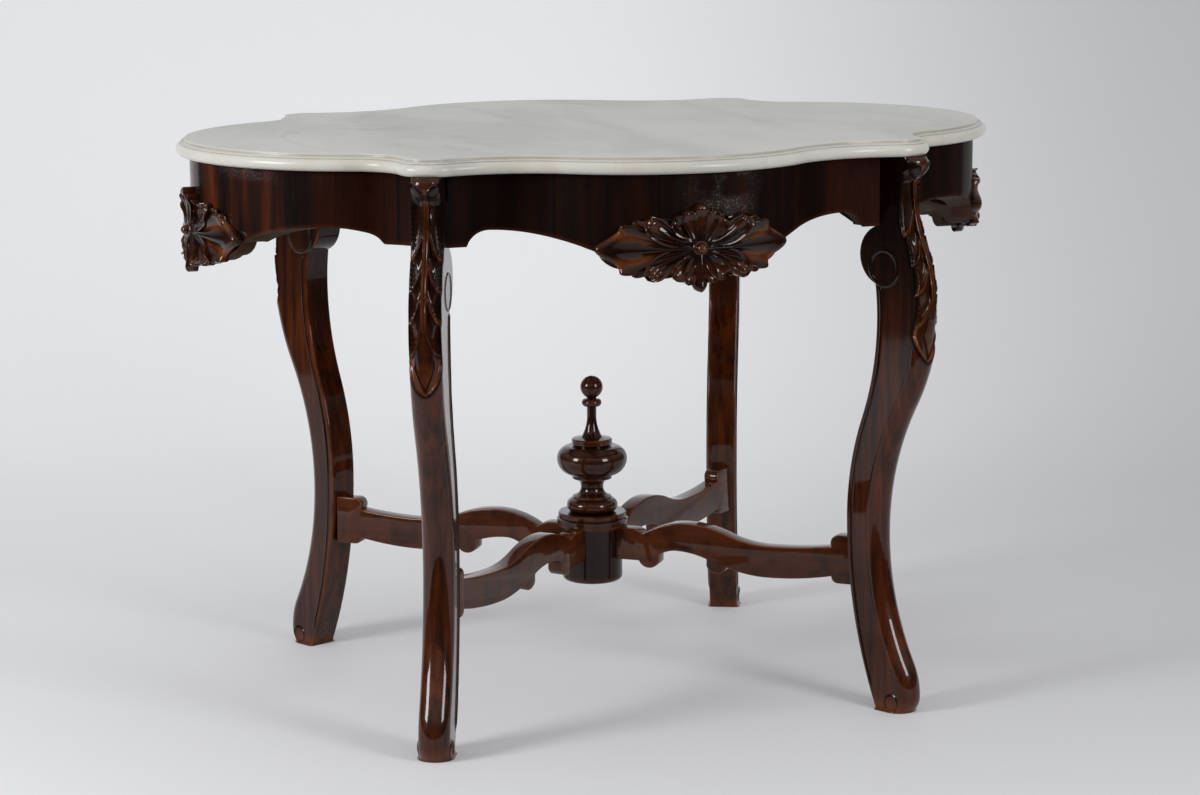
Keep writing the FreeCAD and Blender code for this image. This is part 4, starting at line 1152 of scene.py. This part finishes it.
def leaf_bud(z, a, tip):
    """Pointed bud under the lobes with a diamond cut in it: where it is, its height, beads and hollows."""
    below = np.clip((z - tip) / (BUD_WIDEST - tip), 0, 1) ** 0.68
    above = np.clip(1 - ((z - BUD_WIDEST) / (BUD_SHOULDER - BUD_WIDEST)) ** 2, 0, 1)
    margin = BUD_HALF * np.where(z < BUD_WIDEST, below, above) - a
    diamond = a / DIAMOND_HALF + np.clip(BUD_WIDEST - z, 0, None) / DIAMOND_LONG
    fading = 1 - smooth(z, BUD_WIDEST - 4, BUD_WIDEST + 10)
    core = (diamond < 1) * fading
    groove = ridge(diamond - 1.12, 0.12) * fading
    height = 0.34 + 0.46 * smooth(margin, 0, 2.0) - 0.45 * groove + 0.12 * (1 - smooth(diamond, 0.0, 1.0))
    # Beads: the bud's rim, and painted light on the diamond. Hollows: painted shade over the bud, deepest
    # in the groove.
    beads = ridge(margin - 1.8, 1.6) + 0.25 * core
    hollows = np.clip(0.7 - 0.5 * core + groove, 0, 1)
    return (z > tip - 1) & (margin > 0), height, beads, hollows


def knee_leaf(levels, aside, relief):
    """Leaf on the knee, with a double rib, a bud and a plain head: its height, beads and hollows."""
    tip = settings("leg").leaf_tip / MM
    z, a = levels[:, None], np.abs(aside)
    share = np.clip((a - RIB_HALF) / (LEAF_HALF - RIB_HALF), 0, 1)
    fall = LOBE_FALL * (1 - share) ** LOBE_CURVE
    body, beads, reach = leaf_lobes(z, a, fall)
    narrow = np.interp(levels, *LEAF_TAPER)[:, None]
    inside = 1 - smooth(a, reach * narrow - 2.4, reach * narrow)
    off_rib = smooth(a, 3.6, 7.0)
    rib = smooth(z, *RIB_FOOT) * (1 - smooth(z, *RIB_HEAD))
    crests = ridge(a - RIB_PLACE, RIB_ROUND)
    leaf = inside * (0.32 + off_rib * body)
    leaf = leaf + rib * (0.42 * (1 - smooth(a, 3.2, 5.0)) + 0.16 * crests - 0.14 * ridge(a, 0.8))
    beads = np.maximum(beads * inside * off_rib, rib * crests)
    # Hollows: the leaf's bodies, darkened later as painted shade
    hollows = inside * (1 - beads)
    in_bud, bud, bud_beads, bud_hollows = leaf_bud(z, a, tip)
    below = z < LOBE_TIPS[-1] + fall
    in_bud = in_bud & below
    leaf = np.where(in_bud, bud, leaf * ~below * (z > tip))
    beads = np.where(in_bud, bud_beads, beads * ~below)
    hollows = np.where(in_bud, bud_hollows, hollows * ~below)
    head = smooth(z, HEAD_FROM, HEAD_TO)
    along = ((a - FACET_ASIDE) + (z - FACET_HEIGHT)) * math.sqrt(0.5)
    sideways = ((a - FACET_ASIDE) - (z - FACET_HEIGHT)) * math.sqrt(0.5)
    facet = 1 - smooth(np.hypot(along / FACET_LONG, sideways / FACET_WIDE), 0.78, 1.0)
    height = relief * (leaf * (1 - head) + head * (0.3 - 0.42 * facet))
    # Beads carry painted light on the head around the facets
    beads = 0.7 * beads * (1 - head) + 0.2 * head * (1 - facet) * (a < HEAD_HALF)
    return height, beads, hollows * (1 - head)


def flank_grooves(levels, out, across, back):
    """Cuts on the flanks: the line beside the back, the scroll's eye and the eye of the foot."""
    half = settings("leg").thickness / MM / 2
    z = levels[:, None]
    on_flank = smooth(np.abs(across), half - 1.2, half - 0.3)
    inset = np.interp(levels, *LINE_PLACE)[:, None]
    line = ridge(out - back[:, None] - inset, LINE_HALF)
    grooves = LINE_DEPTH * (line * smooth(z, *LINE_FOOT) * (1 - smooth(z, *LINE_HEAD)))
    for centre, radius, depth, low in EYES:
        distance = np.hypot(out - centre[0], z - centre[1])
        cut = depth * ridge(distance - radius, EYE_HALF) * smooth(z, low - 3, low + 3)
        grooves = np.maximum(grooves, cut)
    return -grooves * on_flank


def blurred(values, reach):
    """Running mean along both directions of a grid."""
    kernel = np.ones(2 * reach + 1) / (2 * reach + 1)
    padded = np.pad(values, reach, mode="edge")
    for axis in (0, 1):
        padded = np.apply_along_axis(np.convolve, axis, padded, kernel, mode="same")
    return padded[reach:-reach, reach:-reach]


def carve_leg():
    """Carved leg in its own frame, X out, Y across, with its cut and rubbed parts."""
    leg = settings("leg")
    levels = leg_levels()
    out, across = leg_rings(levels)
    points = np.stack([out, across, np.broadcast_to(levels[:, None], out.shape)], axis=-1)
    round_way = np.roll(points, -1, axis=1) - np.roll(points, 1, axis=1)
    up_way = np.gradient(points, axis=0)
    normals = np.cross(round_way, up_way)
    normals /= np.linalg.norm(normals, axis=2, keepdims=True) + 1e-9
    front = BACK_COUNT + CORNER_COUNT + FLANK_COUNT + (FRONT_COUNT - 2) // 2
    steps = np.linalg.norm(np.diff(points[..., :2], axis=1), axis=2)
    aside = np.concatenate([np.zeros((len(levels), 1)), np.cumsum(steps, axis=1)], axis=1)
    aside = aside - aside[:, front][:, None]
    height, beads, hollows = knee_leaf(levels, aside, leg.leaf_relief / MM)
    back = leg_curves(levels)[0]
    height = height + flank_grooves(levels, out, across, back)
    points = points + normals * height[..., None]
    tuck = SOLE_TUCK * (1 - np.sqrt(1 - np.clip((SOLE_SOFT - levels) / SOLE_SOFT, 0, 1) ** 2))
    points[..., :2] -= normals[..., :2] * tuck[:, None, None]
    points[..., 2] = np.clip(points[..., 2], 0.0, UNDERSIDE / MM)
    points[0, :, 2] = 0.0
    points[-1, :, 2] = UNDERSIDE / MM
    difference = height - blurred(height, CUT_REACH)
    scuffed = (1 - smooth(levels, *SCUFFED))[:, None] * 0.25
    corner = ridge(np.hypot(out - back[:, None], np.abs(across) - leg.thickness / MM / 2), CORNER_HALF)
    # Cut share: polish and painted shade in recesses and on the leaf's bodies. Rubbed share: wear on
    # corners and feet, painted light on beads and head.
    fields = {
        "cut": np.clip(-difference / CUT_DEPTH + 0.35 * hollows, 0, 1),
        "rub_and_light": np.clip(beads + 0.05 * hollows + 0.35 * corner + scuffed, 0, 1),
        "raw": np.zeros_like(height),
    }
    fields["raw"][[0, -1]] = 1.0
    return loft(points * MM), fields


class TABLE_OT_legs(bpy.types.Operator):
    """Carve the four scroll legs"""
    bl_idname = "table.legs"
    bl_label = "Legs"

    def execute(self, context):
        skin, fields = carve_leg()
        for corner, signs in CORNERS.items():
            heel, outward = leg_frame(signs)
            place = Matrix.Translation((*heel, 0.0)) @ turned_to(outward)
            add_piece(f"scroll_leg_{corner}", f"leg_{corner}", "leg_wood", skin, fields, place, LEG_CREASE)
        return {"FINISHED"}


# Stretcher

BOARD_SOFT = 1.6 * MM
ARRIS_STEPS = 4
ARRIS_WEAR, BOARD_WEAR = 0.7, 0.15
TURNED_COUNT = 128
TURNED_STEP = 3
TURNED_CREASE = 38.0
TURNED_MEAN = 9
# Painted shade over the whole hub
HUB_SHADE = 0.3
# Finial from the hub's top upwards: radius and rise, in millimetres
PLATES = ((0.5, 0), (46.6, 0), (47.4, 2), (47.4, 9), (45.0, 10.5), (45.6, 12), (45.6, 16), (44.0, 18))
RING = ((27.0, 18), (34.0, 27), (27.0, 36), (26.0, 36.6), (26.0, 39))
WAIST = ((19.0, 42), (15.0, 52), (24.0, 62), (26.3, 63), (26.3, 66))
BULB = ((31.0, 68.5), (46.9, 90), (27.0, 107), (24.0, 107.6), (24.0, 109))
CAP = ((27.0, 110), (27.0, 115.5), (25.6, 117))
SPIRE = ((14.0, 118.5), (6.2, 147), (6.2, 160), (13.2, 165), (6.1, 170), (6.1, 172))
BALL = ((15.0, 186), (0.3, 201))
FINIAL = PLATES + RING + WAIST + BULB + CAP + SPIRE + BALL
FINIAL_BENDS = LINE * 8 + (SWAY + LINE * 3) * 2 + SWAY + LINE * 6 + "upright_end " + (LINE + SWAY) * 2


def sawn_board(outline, thickness, soft):
    """Board sawn to a clockwise outline in its XZ plane, with softened arrises."""
    way = np.roll(outline, -1, axis=0) - np.roll(outline, 1, axis=0)
    way /= np.linalg.norm(way, axis=1)[:, None]
    inward = np.column_stack([way[:, 1], -way[:, 0]])
    turns = np.linspace(0.0, math.pi / 2, ARRIS_STEPS)
    steps = [(soft * (1 - math.sin(turn)), -thickness / 2 + soft * (1 - math.cos(turn))) for turn in turns]
    steps += [(inset, -depth) for inset, depth in reversed(steps)]
    rings, rub_and_light = [], []
    for number, (inset, depth) in enumerate(steps):
        ring = outline + inward * inset
        rings.append(np.column_stack([ring[:, 0], np.full(len(ring), depth), ring[:, 1]]))
        rub_and_light.append(ARRIS_WEAR if number % ARRIS_STEPS in (1, 2) else BOARD_WEAR)
    return loft(rings), {"rub_and_light": np.repeat(rub_and_light, len(outline)), "cut": np.zeros(len(outline) * len(rings))}


def board_outline(reach):
    """Side view of a stretcher board from the table's axis to a leg."""
    stretcher = settings("stretcher")
    low, high, ear = stretcher.low / MM, stretcher.high / MM, stretcher.hub_high / MM
    hub, end = stretcher.hub / MM, reach / MM
    lobe, depth, tenon = 14.0, 9.0, 6.0
    start, block, heel = hub - 4.0, hub + 26.0, end - 30.0
    crest, valley = (137.0, high), (end - 118.0, high - 22.0)
    arch = (crest[0] - 15.0, low + 26.0)
    near, far, rise = crest[0] - 53.0, crest[0] + 42.0, low + depth
    upper = [
        (start, ear), (block - 8.0, ear), (block + depth, ear - 6.0), crest, part_way(crest, valley, 0.5),
        valley, (heel, high - 15.5), (heel + depth, high), (end + tenon, high),
    ]
    lower = [
        (end + tenon, low), (heel + depth, low), (heel, rise), (valley[0], low), (far + lobe, rise),
        (far, low), (far - lobe, rise), (far - lobe, rise + depth), arch, (near + lobe, rise + depth),
        (near + lobe, rise), (near, low), (near - lobe, rise), (start, rise),
    ]
    lobe_bends = "level_end level_start line "
    upper_bends = LINE + WAVE * 3 + LINE * 2
    lower_bends = LINE + WAVE * 2 + "level_start line " + lobe_bends * 2 + LINE
    return bent_line(upper + lower + upper[:1], upper_bends + lower_bends)[:-1]


def turned_skin(profile, count):
    """Skin turned about the table's axis from a profile of radius and height."""
    circle = unit_ways(np.linspace(0.0, math.tau, count, endpoint=False))
    return loft([level_ring(radius * circle, height) for radius, height in profile])


class TABLE_OT_stretcher(bpy.types.Operator):
    """Saw the four stretcher boards"""
    bl_idname = "table.stretcher"
    bl_label = "Stretcher boards"

    def execute(self, context):
        stretcher, leg = settings("stretcher"), settings("leg")
        for corner, signs in CORNERS.items():
            heel, outward = leg_frame(signs)
            back = heel - outward * leg.ankle_back
            skin, fields = sawn_board(board_outline(np.linalg.norm(back)), stretcher.board, BOARD_SOFT)
            add_piece(f"stretcher_board_{corner}", f"stretcher_arm_{corner}", "board_wood", skin, fields,
                      turned_to(back))
        return {"FINISHED"}


class TABLE_OT_finial(bpy.types.Operator):
    """Turn the hub and the finial"""
    bl_idname = "table.finial"
    bl_label = "Hub and finial"

    def execute(self, context):
        stretcher = settings("stretcher")
        hub, low, high = (size / MM for size in (stretcher.hub, stretcher.hub_low, stretcher.hub_high))
        pin, soft, arris = 0.5, 6, 1
        corners = [
            (pin, low), (hub - soft, low), (hub, low + soft),
            (hub, high - arris), (hub - arris, high), (pin, high),
        ]
        profile = bent_line(corners, LINE + "level_start " + LINE * 3)
        self.turn("turned_hub", "stretcher_hub", profile, HUB_SHADE)
        profile = bent_line([(radius, high + rise) for radius, rise in FINIAL], FINIAL_BENDS)
        self.turn("turned_finial", "finial", profile, 0.0)
        return {"FINISHED"}

    def turn(self, name, node, profile, shade):
        """One turned piece, dark where the profile is hollow, darkened all over by painted shade, and
        rubbed where it stands out.
        """
        marks = path_marks(profile)
        even = np.arange(0.0, marks[-1], MM)
        outline = np.pad(np.interp(even, marks, profile[:, 0]), TURNED_MEAN // 2, mode="edge")
        mean = np.convolve(outline, np.ones(TURNED_MEAN) / TURNED_MEAN, mode="valid")
        fine = np.union1d(marks, even[::TURNED_STEP])
        profile = np.column_stack([np.interp(fine, marks, profile[:, axis]) for axis in (0, 1)])
        proud = profile[:, 0] - np.interp(fine, even, mean)
        fields = {
            "cut": np.repeat(np.clip(-proud / (2 * MM) + shade, 0, 1), TURNED_COUNT),
            "rub_and_light": np.repeat(np.clip(proud / (3 * MM), 0, 0.6), TURNED_COUNT),
        }
        skin = turned_skin(profile, TURNED_COUNT)
        add_piece(name, node, "turned_wood", skin, fields, None, TURNED_CREASE)


class TABLE_OT_carcase(bpy.types.Operator):
    """Finish the blocks, the rail and the fasteners that stay as they were sawn"""
    bl_idname = "table.carcase"
    bl_label = "Carcase"

    def execute(self, context):
        finishes = {f"corner_block_{corner}": "carcase_wood" for corner in CORNERS}
        finishes.update(dict.fromkeys(("centre_rail", "apron_dowels", "stretcher_dowels"), "carcase_wood"))
        finishes["corner_screws"] = "screw_steel"
        for name, material in finishes.items():
            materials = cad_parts[name].data.materials
            materials.clear()
            materials.append(finish(material))
        return {"FINISHED"}


# Stage

KEY_PLACE, FILL_PLACE = (-2.47, -0.62, 1.20), (1.12, -2.30, 1.20)
BOX_SIZE = (0.7, 0.9)
BOX_AIM = Vector((0.0, 0.0, 0.45))
SENSOR = 36.0
# Sweep in metres, in the camera's heading: front edge, start of the bend, its radius, height and half-width
SWEEP_FRONT, SWEEP_BACK, SWEEP_BEND, SWEEP_HEIGHT, SWEEP_HALF = -1.1, 1.3, 1.2, 2.6, 2.6
SWEEP_STEPS = 24
# Tones of the floor against its colour: its clouds, and its far right, darkened as painted shade
FLOOR_CLOUD, FLOOR_RIGHT_SHADE = 0.965, 0.86


class TABLE_OT_stage(bpy.types.Operator):
    """Set up the camera, the pale floor and the soft light"""
    bl_idname = "table.stage"
    bl_label = "Stage"

    def execute(self, context):
        stage = settings("stage")
        self.sweep()
        self.camera(stage)
        self.soft_box("key_box", KEY_PLACE, stage.key)
        self.soft_box("fill_box", FILL_PLACE, stage.fill)
        self.room(stage)
        bpy.context.scene.view_settings.view_transform = "Standard"
        return {"FINISHED"}

    def room(self, stage):
        """Dim room under a pale ceiling, as pale as the floor where the camera sees it."""
        world = bpy.data.worlds.new("studio")
        paint = Paint("studio", world)
        way = paint.node("ShaderNodeTexCoord", output="Generated")
        rise = paint.node("ShaderNodeSeparateXYZ", None, {0: way}, "Z").clear(0.1, 0.6)
        light = paint.blend(rise, (stage.room,) * 3, (stage.ceiling,) * 3)
        paint.set("Color", paint.blend(paint.ray("Camera"), light, settings("finish").floor))
        paint.set("Strength", 1.0)
        bpy.context.scene.world = world

    def sweep(self):
        """Floor that turns up into a backdrop, seen through from behind and from below."""
        curve = [(SWEEP_FRONT, 0.0)]
        for turn in np.linspace(0.0, math.pi / 2, SWEEP_STEPS):
            rise = SWEEP_BEND - SWEEP_BEND * math.cos(turn)
            curve.append((SWEEP_BACK + SWEEP_BEND * math.sin(turn), rise))
        curve.append((SWEEP_BACK + SWEEP_BEND, SWEEP_HEIGHT))
        skin = loft([[(-SWEEP_HALF, y, z), (SWEEP_HALF, y, z)] for y, z in curve], False, False)
        mesh = make_mesh("sweep", skin)
        paint = Paint("pale_floor")
        tone = settings("finish").floor
        right = paint.axis("X").clear(-0.2, 1.3)
        far = paint.axis("Y").clear(-0.6, 2.4)
        clouds = paint.noise(paint.place(), scale=2.6, detail=4.0)
        ground = paint.blend(clouds, tone, dimmed(tone, FLOOR_CLOUD))
        # Painted shade: the floor darkens to the right
        paint.set("Base Color", paint.blend(right, ground, dimmed(tone, FLOOR_RIGHT_SHADE)))
        paint.set("Roughness", paint.noise(paint.place(), scale=18.0, detail=3.0) * 0.1 + 0.6)
        paint.set("Specular IOR Level", 0.15)
        seen, mirrored = paint.ray("Camera"), paint.ray("Glossy")
        # Painted light: the backdrop glows for the camera, brighter towards the back and dimmer to the
        # right, and glows in reflections
        lift = seen * (far * 0.8 + 0.2) * (1.0 - right * 0.62) + mirrored * far * 0.85
        paint.set("Emission Color", paint.blend(lift, (0.0, 0.0, 0.0), tone))
        paint.set("Emission Strength", settings("stage").glow)
        paint.set("Alpha", 1.0 - paint.node("ShaderNodeNewGeometry", output="Backfacing"))
        mesh.materials.append(paint.material)
        floor = add_object("sweep", mesh)
        floor.matrix_world = Matrix.Rotation(settings("stage").azimuth, 4, "Z")

    def camera(self, stage):
        """Camera at the photograph's viewing angle."""
        turn, rise = stage.azimuth, stage.elevation
        back = Vector((math.sin(turn) * math.cos(rise), -math.cos(turn) * math.cos(rise), math.sin(rise)))
        right = Vector((math.cos(turn), math.sin(turn), 0.0))
        target = right * stage.target_across + Vector((0.0, 0.0, stage.target_height))
        lens = bpy.data.cameras.new("camera")
        lens.lens = stage.lens
        lens.sensor_width = SENSOR
        lens.sensor_fit = "HORIZONTAL"
        eye = add_object("camera", lens)
        facing = (-back).to_track_quat("-Z", "Y").to_matrix().to_4x4()
        roll = Matrix.Rotation(stage.roll, 4, "Z")
        eye.matrix_world = Matrix.Translation(target + back * stage.distance) @ facing @ roll
        bpy.context.scene.camera = eye

    def soft_box(self, name, place, power):
        """Soft box turned towards the table."""
        lamp = bpy.data.lights.new(name, "AREA")
        lamp.shape = "RECTANGLE"
        lamp.size, lamp.size_y = BOX_SIZE
        lamp.energy = power
        box = add_object(name, lamp)
        box.location = place
        box.rotation_mode = "QUATERNION"
        box.rotation_quaternion = (BOX_AIM - Vector(place)).to_track_quat("-Z", "Y")


OPERATORS = (
    TABLE_OT_slab, TABLE_OT_aprons, TABLE_OT_carvings, TABLE_OT_legs,
    TABLE_OT_stretcher, TABLE_OT_finial, TABLE_OT_carcase, TABLE_OT_stage,
)


class TABLE_PT_panel(bpy.types.Panel):
    """Lists the steps that build the table"""
    bl_idname = "TABLE_PT_panel"
    bl_label = "Serpentine Table"
    bl_space_type = "VIEW_3D"
    bl_region_type = "UI"
    bl_category = "Table"

    def draw(self, context):
        for operator in OPERATORS:
            self.layout.operator(operator.bl_idname)
        for name in GROUPS:
            box = self.layout.box()
            group = getattr(context.scene, name)
            for field in group.__annotations__:
                box.prop(group, field)


def register():
    for name, group in GROUPS.items():
        bpy.utils.register_class(group)
        setattr(bpy.types.Scene, name, PointerProperty(type=group))
    for operator in OPERATORS:
        bpy.utils.register_class(operator)
    bpy.utils.register_class(TABLE_PT_panel)


def unregister():
    bpy.utils.unregister_class(TABLE_PT_panel)
    for operator in reversed(OPERATORS):
        bpy.utils.unregister_class(operator)
    for name, group in GROUPS.items():
        delattr(bpy.types.Scene, name)
        bpy.utils.unregister_class(group)


def main():
    register()
    bpy.ops.table.slab()
    bpy.ops.table.aprons()
    bpy.ops.table.carvings()
    bpy.ops.table.legs()
    bpy.ops.table.stretcher()
    bpy.ops.table.finial()
    bpy.ops.table.carcase()
    bpy.ops.table.stage()


if __name__ == "__main__":
    main()
